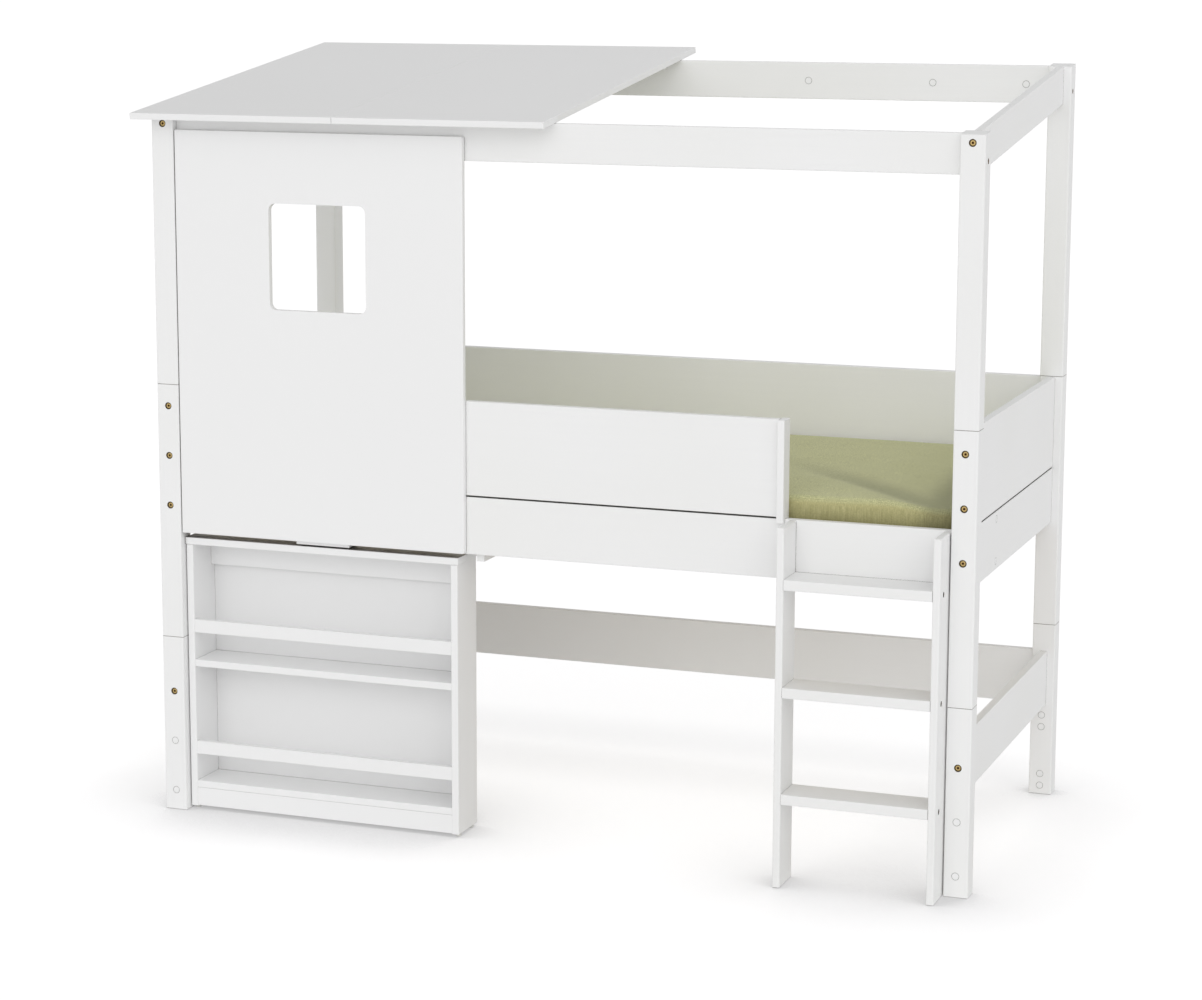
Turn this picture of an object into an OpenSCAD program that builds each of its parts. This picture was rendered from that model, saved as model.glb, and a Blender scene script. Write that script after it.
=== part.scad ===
// Cabin bed for a child: a half-height bed with stacked corner posts, a sloping canopy,
// a half roof, a window wall, a fixed ladder and a low bookcase that stands under the wall.
// +X runs along the bed to the ladder end, +Y to the back, +Z up. The origin is on the floor
// in the middle of the whole outline.

/* [Bed frame] */
// Length over the posts
bed_l = 2090; // [1990:5:2240]
// Width over the posts
bed_w = 985; // [900:5:1200]
// Post width along the bed
post_w = 58.5; // [54:0.5:62]
// Post depth across the bed
post_d = 52.5; // [50:0.5:56]
// Radius on the long edges of the posts
post_r = 3; // [1:0.5:5]
// Bevel round the ends of each post section
post_bevel = 1.2; // [0.6:0.2:2]
// Height of the lower post joint
lower_joint_z = 452; // [420:1:520]
// Height of the upper post joint
upper_joint_z = 1098; // [1098:1:1160]
// Height of a front post at its front face
post_top_z = 1765; // [1740:5:1950]
// Thickness of rails and guard boards
board_t = 20; // [18:0.5:21]
// How far the boards sit back from the outer faces of the posts
board_recess = 20; // [17:0.5:22]
// Radius on the long edges of rails and boards
board_r = 2; // [1:0.5:4]
// Width of the low boards and of the side and end rails
rail_h = 142; // [125:1:155]
// Underside of the low boards
low_board_z = 239; // [200:1:270]
// Underside of the side and end rails
side_rail_z = 720; // [715:1:740]
// Gap between a rail and the guard board above it
guard_gap = 3; // [2:0.5:5]
// Width of the guard boards
guard_h = 231; // [160:1:231]
// Width of the canopy rails
canopy_rail_h = 94; // [90:1:120]

/* [Roof and window wall] */
// Pitch of the canopy and roof, in degrees
roof_pitch = 7; // [4:0.5:9]
// Length of the roof along the bed
roof_w = 1088; // [960:4:1500]
// Thickness of the roof boards
roof_t = 16; // [12:1:20]
// Roof overhang at the left end
roof_left = 30; // [5:1:60]
// Roof overhang in front of the posts
roof_front = 55; // [20:1:75]
// Roof overhang behind the posts
roof_back = 82; // [20:1:120]
// Width of the window wall
wall_w = 768; // [700:2:960]
// Thickness of the window wall
wall_t = 16; // [12:0.5:18]
// Foot of the window wall above the underside of the side rail
wall_foot = 2; // [0:0.5:10]
// Top of the window wall below the top of the canopy rail
wall_top_gap = 35.5; // [25:0.5:50]
// Window width
window_w = 258; // [120:2:400]
// Window height
window_h = 261; // [120:1:360]
// Wall left above the window
window_top_margin = 174; // [130:1:260]
// Radius of the window corners
window_r = 17; // [6:1:40]

/* [Mattress and slats] */
// Space between the mattress and the boards at each end
mattress_end_gap = 10; // [5:1:20]
// Space between the mattress and the boards at each side
mattress_side_gap = 3; // [2:0.5:8]
// Mattress height without its crown
mattress_h = 111; // [90:1:130]
// Rise of the crown in the middle of the mattress
mattress_crown = 8; // [3:1:15]
// Plan radius of the mattress corners
mattress_corner_r = 48; // [46:1:70]
// Thickness of the fitted sheet
sheet_t = 1.2; // [0.8:0.1:2]
// Turn of the sheet under the mattress
sheet_hem = 110; // [60:5:160]
// Number of slats
slat_count = 15; // [12:1:18]
// Slat width
slat_w = 70; // [50:1:80]
// Slat thickness
slat_t = 18; // [14:1:22]
// Top of the slats below the top of the rails
slat_drop = 77; // [65:1:85]
// Width of the webbing that spaces the slats
strap_w = 22; // [15:1:40]
// Thickness of the webbing
strap_t = 1; // [0.8:0.1:2]
// Depth of the ledgers under the slat ends
ledger_t = 25; // [20:1:30]
// Height of the ledgers
ledger_h = 30; // [26:1:32]
// Thickness of the cross bearer under the slats
bearer_t = 20; // [18:1:60]
// Height of the cross bearer
bearer_h = 67.5; // [50:0.5:70]
// Gap between the bookcase and the cross bearer beside it
bearer_gap = 41; // [5:1:60]

/* [Ladder] */
// Width over the ladder stiles
ladder_w = 387; // [340:1:460]
// Depth of a stile from front to back
stile_d = 100; // [80:1:120]
// Thickness of a stile
stile_t = 18; // [16:1:24]
// Top of the ladder below the top of the side rail
ladder_drop = 2; // [1:1:40]
// Thickness of a tread
tread_t = 25; // [22:1:30]
// Height of the middle of the lowest tread
tread_first_z = 215; // [180:1:240]
// Rise from tread to tread
tread_rise = 255.5; // [220:0.5:270]
// Gap between the ladder and the post beside it
ladder_gap = 3; // [2:0.5:10]
// Gap between the ladder and the stile that ends the front guard
guard_stile_gap = 10; // [5:1:40]
// Thickness of the stile that ends the front guard
guard_stile_t = 17.5; // [16:0.5:24]
// Depth of that stile from front to back
guard_stile_d = 48; // [40:1:50]
// How far the foot of that stile laps over the side rail
guard_stile_lap = 10; // [6:1:16]

/* [Bookcase] */
// Width over the bookcase sides
bookcase_w = 741; // [600:1:900]
// Depth of the bookcase
bookcase_d = 120; // [90:1:200]
// Space between the bookcase and the plate over it
bookcase_head_gap = 4; // [2:1:60]
// Thickness of the bookcase boards
bookcase_t = 18; // [15:0.5:20]
// Front of the bookcase behind the front of the posts
bookcase_y = 22; // [20:1:40]
// Overhang of the bookcase top in front and at both ends
bookcase_over = 2.5; // [0:0.5:3]
// Height of the glides
glide_h = 8; // [3:1:12]
// Top of the lower shelf above the floor
shelf_low_z = 75; // [62:1:110]
// Top of the middle shelf above the floor
shelf_mid_z = 392; // [300:1:450]
// Underside of the book lip above its shelf
lip_rise = 70; // [40:1:110]
// Height of a book lip
lip_h = 34; // [20:1:60]
// Thickness of a book lip
lip_t = 16; // [12:1:18]
// Height of the rail under the bookcase top
stretcher_h = 69; // [40:1:100]
// Thickness of the back panel
back_t = 3; // [3:0.5:6]

/* [Fastenings] */
// Counterbore of a connector bolt in the front of a post
counterbore_d = 18; // [16:0.5:20]
// Head of such a bolt
bolt_head_d = 13; // [11:0.5:15]
// Counterbore of a connector bolt in a side face
small_counterbore_d = 14; // [13.5:0.5:16]
// Head of such a bolt
small_head_d = 11; // [10:0.5:12.5]
// Depth of the counterbores
counterbore_h = 5; // [4:0.5:8]
// Bolt shank
bolt_d = 6; // [5:0.5:8]
// Cross dowel that the bolt screws into
cross_dowel_d = 10; // [9:0.5:12]
// Pin that joins two post sections
pin_d = 16; // [12:1:18]
// Length of that pin
pin_l = 80; // [50:5:90]
// Wooden dowel in the bookcase, the ladder and the guard stile
dowel_d = 8; // [6:1:10]
// Cover plug over an unused hole
plug_d = 18; // [10:1:20]
// Play of a fastener in its hole, on the diameter
hole_play = 0.4; // [0.2:0.1:0.8]

/* [Hidden] */

white = "#f2f2f0";
timber = "#d9c39a";
steel = "#b9babc";
brass = "#b99a5e";
sheet_green = "#a9a984";
foam = "#e9e4d4";

slope = tan(roof_pitch);
cut = 0.02;                       // overshoot of a cut past the face it opens
touch = 0.3;                      // space between soft or moving pieces and their neighbours
arc_steps = 3;                    // facets in the small radius along a board's edge

// The bed's own corner: left, front post corner on the floor, placed so that the whole
// outline is centred on the origin.
ladder_out = stile_d - board_recess;
roof_drop = roof_t * sin(roof_pitch);
front_reach = max(ladder_out, roof_front + roof_drop);
corner_x = (roof_left - bed_l) / 2;
corner_y = (front_reach - roof_back - bed_w) / 2;

// Heights and lines that several pieces share
inner_x = board_recess + board_t;             // inner face of an end board from the bed's end
inner_y = board_recess + board_t;             // inner face of a long board from the bed's front
end_bolt_x = board_recess + board_t / 2;      // middle of an end board
long_bolt_y = board_recess + board_t / 2;     // middle of a long board
low_mid_z = low_board_z + rail_h / 2;
rail_mid_z = side_rail_z + rail_h / 2;
rail_top_z = side_rail_z + rail_h;
guard_z = rail_top_z + guard_gap;
guard_top_z = guard_z + guard_h;
guard_mid_z = guard_z + guard_h / 2;
guard_bolt_step = 63;                         // guard bolts above and below the board's middle
canopy_front_z = post_top_z + board_recess * slope - canopy_rail_h;
canopy_rear_z = post_top_z + (bed_w - inner_y) * slope - canopy_rail_h;
end_bolt_rise = 22;                           // sloping rail's bolt above the middle of the rail
long_bolt_drop = 16;                          // level rail's bolt below its middle
nut_in = 30;                                  // cross dowel from the end of its board
bolt_past_nut = 8;
nut_l = 14;
foot_plug_z = [51, 181];
rear_plug_z = [23, 54, 180, 211];

slat_top_z = rail_top_z - slat_drop;
ladder_h = rail_top_z - ladder_drop;
wall_z = side_rail_z + wall_foot;
wall_h = canopy_front_z + canopy_rail_h - wall_top_gap - wall_z;

roof_seam_x = roof_w / 2 - roof_left;
roof_len = (roof_front + bed_w + roof_back) / cos(roof_pitch);
wall_x = post_w + 1.5;
wall_y = board_recess - wall_t;
window_z = wall_z + wall_h - window_top_margin - window_h;

slat_x = post_w + 3;
slat_l = bed_w - 2 * inner_y - 4;
slat_pitch = (bed_l - 2 * slat_x - slat_w) / (slat_count - 1);
ledger_top_z = slat_top_z - slat_t;
ledger_z = ledger_top_z - ledger_h;
bearer_z = ledger_top_z - bearer_h;
strap_y = [200, bed_w - 200];

ladder_x1 = bed_l - post_w - ladder_gap;
ladder_x0 = ladder_x1 - ladder_w;
ladder_y = board_recess - stile_d;
tread_bolt_y = ladder_y + 35;
tread_dowel_y = ladder_y + 75;
guard_stile_x = ladder_x0 - guard_stile_gap - guard_stile_t;

plate_t = 8;                      // plate under the side rail, over the bookcase
bookcase_h = side_rail_z - plate_t - bookcase_head_gap;
bookcase_x = post_w + 0.8 + bookcase_over;
bearer_x = bookcase_x + bookcase_w + bookcase_over + bearer_gap;
bookcase_in = bookcase_w - 2 * bookcase_t;
case_top_z = bookcase_h - bookcase_t;
back_y = bookcase_y + bookcase_d - back_t - 1;
lip_set = 1;                                  // lips, shelves and plinth behind the side edges

// A rectangle with rounded corners, as points from its lower left corner
function rounded(w, h, r, n = arc_steps) = [
    for (c = [[w - r, h - r, 0], [r, h - r, 90], [r, r, 180], [w - r, r, 270]])
        for (i = [0:n]) [c[0] + r * cos(c[2] + i * 90 / n), c[1] + r * sin(c[2] + i * 90 / n)]
];
// A post end seen square on, bevelled at the foot and at a top that may slope
function post_outline(w, z0, z1, rise, b) = [
    [b, z0], [w - b, z0], [w, z0 + b], [w, z1 + rise - b],
    [w - b, z1 + rise * (w - b) / w], [b, z1 + rise * b / w], [0, z1 - b], [0, z0 + b]
];

// Moves the bed's own corner to its place about the origin
module in_place() { translate([corner_x, corner_y, 0]) children(); }
module at_right() { translate([bed_l, 0, 0]) mirror([1, 0, 0]) children(); }
module at_rear() { translate([0, bed_w, 0]) mirror([0, 1, 0]) children(); }
module at_corner(right, rear) {
    if (right && rear) at_right() at_rear() children();
    else if (right) at_right() children();
    else if (rear) at_rear() children();
    else children();
}
// Tilts what is drawn with Z = 0 as the underside of the roof
module on_slope() { translate([0, 0, post_top_z]) rotate([roof_pitch, 0, 0]) children(); }

// A board along X or Y with its long edges rounded
module board_x(x0, x1, y, z, t, h, r = board_r) {
    translate([x0, y, z]) rotate([90, 0, 90]) linear_extrude(x1 - x0) polygon(rounded(t, h, r));
}
module board_y(y0, y1, x, z, t, h, r = board_r) {
    translate([x, y1, z]) rotate([90, 0, 0]) linear_extrude(y1 - y0) polygon(rounded(t, h, r));
}
// A board rounded along all its edges
module soft_board(size, r = board_r) {
    intersection() {
        linear_extrude(size[2]) polygon(rounded(size[0], size[1], r));
        translate([0, size[1], 0]) rotate([90, 0, 0]) linear_extrude(size[1]) polygon(rounded(size[0], size[2], r));
        rotate([90, 0, 90]) linear_extrude(size[0]) polygon(rounded(size[1], size[2], r));
    }
}

// ---- Fasteners, each drawn going into the wood along +Z from the face at Z = 0 ----

// The head has a hex socket and a thin washer face that nearly fills the counterbore
module connector_bolt(head_d, bore_d, len) {
    socket_d = 5.8;
    socket_h = 2.2;
    head_h = 2.6;
    head_edge = 0.6;
    washer_t = 0.8;
    head_z = counterbore_h - head_h;
    difference() {
        union() {
            translate([0, 0, head_z]) cylinder(d1 = head_d - 2 * head_edge, d2 = head_d, h = head_edge, $fn = 32);
            translate([0, 0, head_z + head_edge]) cylinder(d = head_d, h = head_h - head_edge, $fn = 32);
            translate([0, 0, counterbore_h - washer_t]) cylinder(d = bore_d - 2 * hole_play, h = washer_t, $fn = 32);
            translate([0, 0, counterbore_h]) cylinder(d = bolt_d, h = len - counterbore_h, $fn = 24);
        }
        translate([0, 0, head_z - cut]) cylinder(d = socket_d, h = socket_h, $fn = 6);
    }
}
module bolt_hole(bore_d, len) {
    translate([0, 0, -cut]) cylinder(d = bore_d, h = counterbore_h + cut, $fn = 32);
    cylinder(d = bolt_d + hole_play, h = len + 1, $fn = 24);
}
// A cross dowel lies across its bolt; it is drawn along +Z from the board's face
module cross_dowel() {
    difference() {
        translate([0, 0, (board_t - nut_l) / 2]) cylinder(d = cross_dowel_d, h = nut_l, $fn = 32);
        translate([0, 0, board_t / 2]) rotate([90, 0, 0])
            cylinder(d = bolt_d + hole_play / 2, h = 2 * cross_dowel_d, center = true, $fn = 24);
    }
}
module cross_dowel_hole() {
    translate([0, 0, -cut]) cylinder(d = cross_dowel_d + hole_play, h = (board_t + nut_l) / 2 + cut + touch, $fn = 32);
}
module wood_screw(len) {
    head_h = 2.6;
    rotate_extrude($fn = 24) polygon([[0, 0.3], [3.8, 0.3], [2, head_h], [2, len - 4], [0, len]]);
}
module screw_hole(len) {
    play = hole_play / 2;
    rotate_extrude($fn = 24)
        polygon([[0, -cut], [4.2, -cut], [2 + play, 2.6 + play], [2 + play, len - 4 + play], [0, len + 2 * play]]);
}
// A cover plug sits flush, with a bevelled rim that leaves a fine ring round it
plug_h = 3;
module plug() {
    rim = 0.8;
    cylinder(d1 = plug_d - 2 * rim, d2 = plug_d, h = rim, $fn = 32);
    translate([0, 0, rim]) cylinder(d = plug_d, h = plug_h - rim, $fn = 32);
}
module plug_hole() {
    translate([0, 0, -cut]) cylinder(d = plug_d + hole_play, h = plug_h + hole_play / 2 + cut, $fn = 32);
}

// ---- Sites of the fasteners at the front left corner; the other corners mirror them ----

// Height of the sloping rail's bolt: the rail's middle where it meets the post, and a little up
function canopy_bolt_z(rear) =
    post_top_z + slope * (rear ? bed_w - post_d : post_d) - canopy_rail_h / 2 + end_bolt_rise;
function long_canopy_bolt_z(rear) = (rear ? canopy_rear_z : canopy_front_z) + canopy_rail_h / 2 - long_bolt_drop;
function end_bolt_zs(rear) = [
    low_mid_z, rail_mid_z, guard_mid_z - guard_bolt_step, guard_mid_z + guard_bolt_step, canopy_bolt_z(rear)
];
// Long boards hung in hook connectors, by the middle of the board
function hook_zs(right, rear) =
    rear ? [low_mid_z, rail_mid_z, guard_mid_z] : right ? [rail_mid_z] : [rail_mid_z, guard_mid_z];

bolt_l = post_d + nut_in + bolt_past_nut;
long_bolt_l = post_w + nut_in + bolt_past_nut;
tread_bolt_l = stile_t + nut_in + bolt_past_nut;

module end_bolt_at(z) { translate([end_bolt_x, 0, z]) rotate([-90, 0, 0]) children(); }
module end_nut_at(z) { translate([inner_x, post_d + nut_in, z]) rotate([0, -90, 0]) children(); }
module long_bolt_at(z) { translate([0, long_bolt_y, z]) rotate([0, 90, 0]) children(); }
module long_nut_at(z) { translate([post_w + nut_in, inner_y, z]) rotate([0, 0, 90]) rotate([0, -90, 0]) children(); }

// ---- Hook connectors: a slotted plate let into the post and a plate with two hooks on the board ----

hook_plate_w = 16;
hook_plate_h = 90;
hook_plate_t = 2.5;
hook_t = 3;
hook_slot_z = [-30, 8];           // foot of each slot from the middle of the plate
hook_slot_h = 22;
hook_reach = 8;

module keeper_plate() {
    difference() {
        translate([-hook_plate_t, -hook_plate_w / 2, -hook_plate_h / 2])
            cube([hook_plate_t, hook_plate_w, hook_plate_h]);
        for (s = hook_slot_z)
            translate([-hook_plate_t - cut, -hook_t / 2 - 0.5, s])
                cube([hook_plate_t + 2 * cut, hook_t + 1, hook_slot_h]);
    }
}
module hook_plate() {
    translate([0.1, -hook_plate_w / 2, -hook_plate_h / 2]) cube([hook_plate_t - 0.1, hook_plate_w, hook_plate_h]);
    for (s = hook_slot_z)
        translate([0, hook_t / 2, s]) rotate([90, 0, 0]) linear_extrude(hook_t) polygon([
            [0.2, 0.3], [-hook_plate_t - 0.4, 0.3], [-hook_plate_t - 0.4, -7], [-hook_reach, -5],
            [-hook_reach, 10], [2 - hook_reach, 12], [0.2, 12]
        ]);
}
module keeper_pocket() {
    translate([-hook_plate_t - 0.1, -hook_plate_w / 2 - 0.1, -hook_plate_h / 2 - 0.1])
        cube([hook_plate_t + 0.1 + cut, hook_plate_w + 0.2, hook_plate_h + 0.2]);
    translate([-hook_reach - 1.5, -hook_t, -hook_plate_h / 2 + 4])
        cube([hook_reach + 1.5, 2 * hook_t, hook_plate_h - 8]);
}
module hook_pocket() {
    translate([-cut, -hook_plate_w / 2 - 0.1, -hook_plate_h / 2 - 0.1])
        cube([hook_plate_t + 0.1 + cut, hook_plate_w + 0.2, hook_plate_h + 0.2]);
}
module hook_at(z) { translate([post_w, long_bolt_y, z]) children(); }

// ---- Corner posts: three sections stacked on pins ----

module post_section(right, rear, z0, z1, sloped) {
    y_near = rear ? bed_w - post_d : 0;
    rise = sloped ? post_d * slope : 0;
    top = sloped ? post_top_z + y_near * slope : z1;
    x_near = right ? bed_l - post_w : 0;
    difference() {
        intersection() {
            translate([x_near, y_near, z0]) linear_extrude(top + rise - z0) polygon(rounded(post_w, post_d, post_r));
            translate([x_near, y_near + post_d, 0]) rotate([90, 0, 0]) linear_extrude(post_d)
                polygon(post_outline(post_w, z0, top + rise, 0, post_bevel));
            translate([x_near, y_near, 0]) rotate([90, 0, 90]) linear_extrude(post_w)
                polygon(post_outline(post_d, z0, top, rise, post_bevel));
        }
        at_corner(right, rear) {
            for (z = end_bolt_zs(rear)) if (z > z0 && z < top) end_bolt_at(z) bolt_hole(counterbore_d, bolt_l);
            if (sloped) long_bolt_at(long_canopy_bolt_z(rear)) bolt_hole(small_counterbore_d, long_bolt_l);
            for (z = hook_zs(right, rear)) if (z > z0 && z < top) hook_at(z) keeper_pocket();
            for (z = [lower_joint_z, upper_joint_z]) if (z >= z0 && z <= top)
                translate([post_w / 2, post_d / 2, z])
                    cylinder(d = pin_d + hole_play, h = pin_l + 1, center = true, $fn = 32);
        }
        if (z0 == 0) leg_plugs(right, rear) plug_hole();
    }
}
// Unused holes in the legs, all seen from the front
module leg_plugs(right, rear) {
    x = right ? bed_l - end_bolt_x : end_bolt_x;
    y = rear ? bed_w - post_d : 0;
    for (z = rear ? rear_plug_z : foot_plug_z) translate([x, y, z]) rotate([-90, 0, 0]) children();
}
module post_lower(right, rear) { color(white) in_place() post_section(right, rear, 0, lower_joint_z, false); }
module post_middle(right, rear) { color(white) in_place() post_section(right, rear, lower_joint_z, upper_joint_z, false); }
module post_upper(right, rear) { color(white) in_place() post_section(right, rear, upper_joint_z, 0, true); }

module joint_pins() {
    color(timber) in_place() {
        for (right = [false, true]) for (rear = [false, true]) at_corner(right, rear)
            for (z = [lower_joint_z, upper_joint_z])
                translate([post_w / 2, post_d / 2, z]) cylinder(d = pin_d, h = pin_l, center = true, $fn = 32);
        guard_stile_dowels() cylinder(d = dowel_d, h = guard_dowel_l, $fn = 24);
        tread_dowels() cylinder(d = dowel_d, h = tread_dowel_l, $fn = 24);
    }
}

// ---- Boards between the posts ----

// An end board, bolted through both posts at each height in zs
module end_board(z, h, zs) {
    difference() {
        board_y(post_d, bed_w - post_d, board_recess, z, board_t, h);
        for (rear = [false, true]) at_corner(false, rear) for (s = zs) {
            end_bolt_at(s) bolt_hole(counterbore_d, bolt_l);
            end_nut_at(s) cross_dowel_hole();
        }
    }
}
// A long board, hung at the ends that hooks lists
module long_board(z, h, x1, hooks) {
    difference() {
        board_x(post_w, x1, board_recess, z, board_t, h);
        for (right = hooks) at_corner(right, false) hook_at(z + h / 2) hook_pocket();
    }
}
module low_board_rear() {
    color(white) in_place() at_rear() long_board(low_board_z, rail_h, bed_l - post_w, [false, true]);
}
module low_board_left() { color(white) in_place() end_board(low_board_z, rail_h, [low_mid_z]); }
module low_board_right() { color(white) in_place() at_right() end_board(low_board_z, rail_h, [low_mid_z]); }
module side_rail_front() {
    color(white) in_place() difference() {
        long_board(side_rail_z, rail_h, bed_l - post_w, [false, true]);
        wall_screws() screw_hole(wall_screw_l);
        ledger_screws() screw_hole(ledger_screw_l);
        ladder_screws() screw_hole(ladder_screw_l);
        plate_screws() screw_hole(plate_screw_l);
        guard_stile_foot_dowels() cylinder(d = dowel_d + hole_play, h = guard_dowel_l + 2, center = true, $fn = 24);
    }
}
module side_rail_rear() {
    color(white) in_place() at_rear() difference() {
        long_board(side_rail_z, rail_h, bed_l - post_w, [false, true]);
        ledger_screws() screw_hole(ledger_screw_l);
    }
}
module end_rail_left() { color(white) in_place() end_board(side_rail_z, rail_h, [rail_mid_z]); }
module end_rail_right() {
    color(white) in_place() difference() {
        at_right() end_board(side_rail_z, rail_h, [rail_mid_z]);
        end_rail_plugs() plug_hole();
    }
}
end_plug_y = 297;
end_plug_z = [21, 123];           // above the underside of the end rail
module end_rail_plugs() {
    for (z = end_plug_z) translate([bed_l - board_recess, end_plug_y, side_rail_z + z]) rotate([0, -90, 0]) children();
}
module guard_front() {
    color(white) in_place() difference() {
        long_board(guard_z, guard_h, guard_stile_x, [false]);
        wall_screws() screw_hole(wall_screw_l);
        guard_stile_end_dowels() cylinder(d = dowel_d + hole_play, h = guard_dowel_l + 1, $fn = 24);
    }
}
module guard_rear() { color(white) in_place() at_rear() long_board(guard_z, guard_h, bed_l - post_w, [false, true]); }
guard_bolts = [guard_mid_z - guard_bolt_step, guard_mid_z + guard_bolt_step];
module guard_left() { color(white) in_place() end_board(guard_z, guard_h, guard_bolts); }
module guard_right() { color(white) in_place() at_right() end_board(guard_z, guard_h, guard_bolts); }

// The stile that closes the end of the front guard: its slotted foot straddles the side rail
guard_dowel_l = 40;
stile_dowel_in = 11;
stile_slot_play = 0.2;
module guard_stile() {
    color(white) in_place() difference() {
        translate([guard_stile_x, long_bolt_y - guard_stile_d / 2, rail_top_z - guard_stile_lap])
            soft_board([guard_stile_t, guard_stile_d, guard_top_z - rail_top_z + guard_stile_lap], board_r);
        translate([guard_stile_x - 1, board_recess - stile_slot_play, rail_top_z - guard_stile_lap - 1])
            cube([guard_stile_t + 2, board_t + 2 * stile_slot_play, guard_stile_lap + 1]);
        guard_stile_end_dowels() cylinder(d = dowel_d + hole_play, h = guard_dowel_l + 1, $fn = 24);
        guard_stile_foot_dowels() cylinder(d = dowel_d + hole_play, h = guard_dowel_l + 2, center = true, $fn = 24);
    }
}
module guard_stile_end_dowels() {
    for (z = [guard_z + 60, guard_top_z - 60])
        translate([guard_stile_x + stile_dowel_in, long_bolt_y, z]) rotate([0, -90, 0]) children();
}
module guard_stile_foot_dowels() {
    translate([guard_stile_x + guard_stile_t / 2, long_bolt_y, rail_top_z]) children();
}
module guard_stile_dowels() {
    guard_stile_end_dowels() children();
    guard_stile_foot_dowels() translate([0, 0, -guard_dowel_l / 2]) children();
}

// ---- Canopy ----

module long_canopy_rail(z, rear) {
    difference() {
        board_x(post_w, bed_l - post_w, board_recess, z, board_t, canopy_rail_h);
        for (right = [false, true]) at_corner(right, false) {
            long_bolt_at(long_canopy_bolt_z(rear)) bolt_hole(small_counterbore_d, long_bolt_l);
            long_nut_at(long_canopy_bolt_z(rear)) cross_dowel_hole();
        }
    }
}
module canopy_rail_front() {
    color(white) in_place() difference() {
        long_canopy_rail(canopy_front_z, false);
        wall_screws() screw_hole(wall_screw_l);
        cleat_screws(false) screw_hole(cleat_screw_l);
    }
}
canopy_plug_in = [685, 357, 117];  // unused holes in the rear rail, from the bed's right end
module canopy_plugs() {
    for (in = canopy_plug_in)
        translate([bed_l - in, bed_w - inner_y, canopy_rear_z + canopy_rail_h / 2]) rotate([-90, 0, 0]) children();
}
module canopy_rail_rear() {
    color(white) in_place() difference() {
        at_rear() long_canopy_rail(canopy_rear_z, true);
        canopy_plugs() plug_hole();
        cleat_screws(true) screw_hole(cleat_screw_l);
    }
}
// A sloping rail, cut plumb where it meets the posts
module sloping_rail() {
    square_h = canopy_rail_h * cos(roof_pitch);
    difference() {
        intersection() {
            on_slope() board_y(0, (bed_w + canopy_rail_h) / cos(roof_pitch), board_recess, -square_h, board_t, square_h);
            translate([0, post_d, 0]) cube([inner_x + 1, bed_w - 2 * post_d, 2 * post_top_z]);
        }
        for (rear = [false, true]) at_corner(false, rear) {
            end_bolt_at(canopy_bolt_z(rear)) bolt_hole(counterbore_d, bolt_l);
            end_nut_at(canopy_bolt_z(rear)) cross_dowel_hole();
        }
    }
}
module canopy_rail_left() { color(white) in_place() sloping_rail(); }
module canopy_rail_right() { color(white) in_place() at_right() sloping_rail(); }

// ---- Roof: two boards on the slope, battens under them ----

cleat_w = 24;
cleat_h = 22;
batten_w = 70;
batten_h = 16;
batten_screw_l = batten_h + roof_t - 5;
cleat_roof_screw_l = cleat_h + roof_t - 5;
cleat_screw_l = cleat_w + board_t - 8;
cleat_x0 = post_w + 10;
cleat_x1 = roof_w - roof_left - 40;
cleat_front_y = inner_y / cos(roof_pitch) + cleat_h * slope;
cleat_rear_y = (bed_w - inner_y) / cos(roof_pitch) - cleat_w - cleat_h * slope;
roof_screw_x = [roof_seam_x - 300, roof_seam_x - 90, roof_seam_x + 90, roof_seam_x + 300];

module roof_board(x) {
    color(white) in_place() difference() {
        on_slope() translate([x, -roof_front / cos(roof_pitch), 0])
            soft_board([roof_w / 2 - touch / 2, roof_len, roof_t], 1.5);
        roof_screws() screw_hole(cleat_roof_screw_l);
        batten_screws() screw_hole(batten_screw_l);
    }
}
module roof_board_left() { roof_board(-roof_left); }
module roof_board_right() { roof_board(roof_seam_x + touch / 2); }
module roof_battens() {
    color(white) in_place() difference() {
        on_slope() {
            for (y = [cleat_front_y, cleat_rear_y])
                translate([cleat_x0, y, -cleat_h]) cube([cleat_x1 - cleat_x0, cleat_w, cleat_h]);
            translate([roof_seam_x - batten_w / 2, cleat_front_y + cleat_w + 5, -batten_h])
                cube([batten_w, cleat_rear_y - cleat_front_y - cleat_w - 10, batten_h]);
        }
        roof_screws() screw_hole(cleat_roof_screw_l);
        batten_screws() screw_hole(batten_screw_l);
        for (rear = [false, true]) cleat_screws(rear) screw_hole(cleat_screw_l);
    }
}
// Screws up through the cleats and the seam batten into the roof, and from the cleats into the rails
module roof_screws() {
    on_slope() for (y = [cleat_front_y, cleat_rear_y]) for (x = roof_screw_x)
        translate([x, y + cleat_w / 2, -cleat_h]) children();
}
module batten_screws() {
    on_slope() for (y = [cleat_front_y + 110, (cleat_front_y + cleat_rear_y) / 2, cleat_rear_y - 80])
        for (side = [-1, 1]) translate([roof_seam_x + side * batten_w / 4, y, -batten_h]) children();
}
module cleat_screws(rear) {
    y = rear ? cleat_rear_y : cleat_front_y + cleat_w;
    for (x = [cleat_x0 + 60, (cleat_x0 + cleat_x1) / 2 + 40, cleat_x1 - 60])
        on_slope() translate([x, y, -cleat_h / 2]) rotate([rear ? -90 : 90, 0, 0]) children();
}

// ---- Window wall ----

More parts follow.
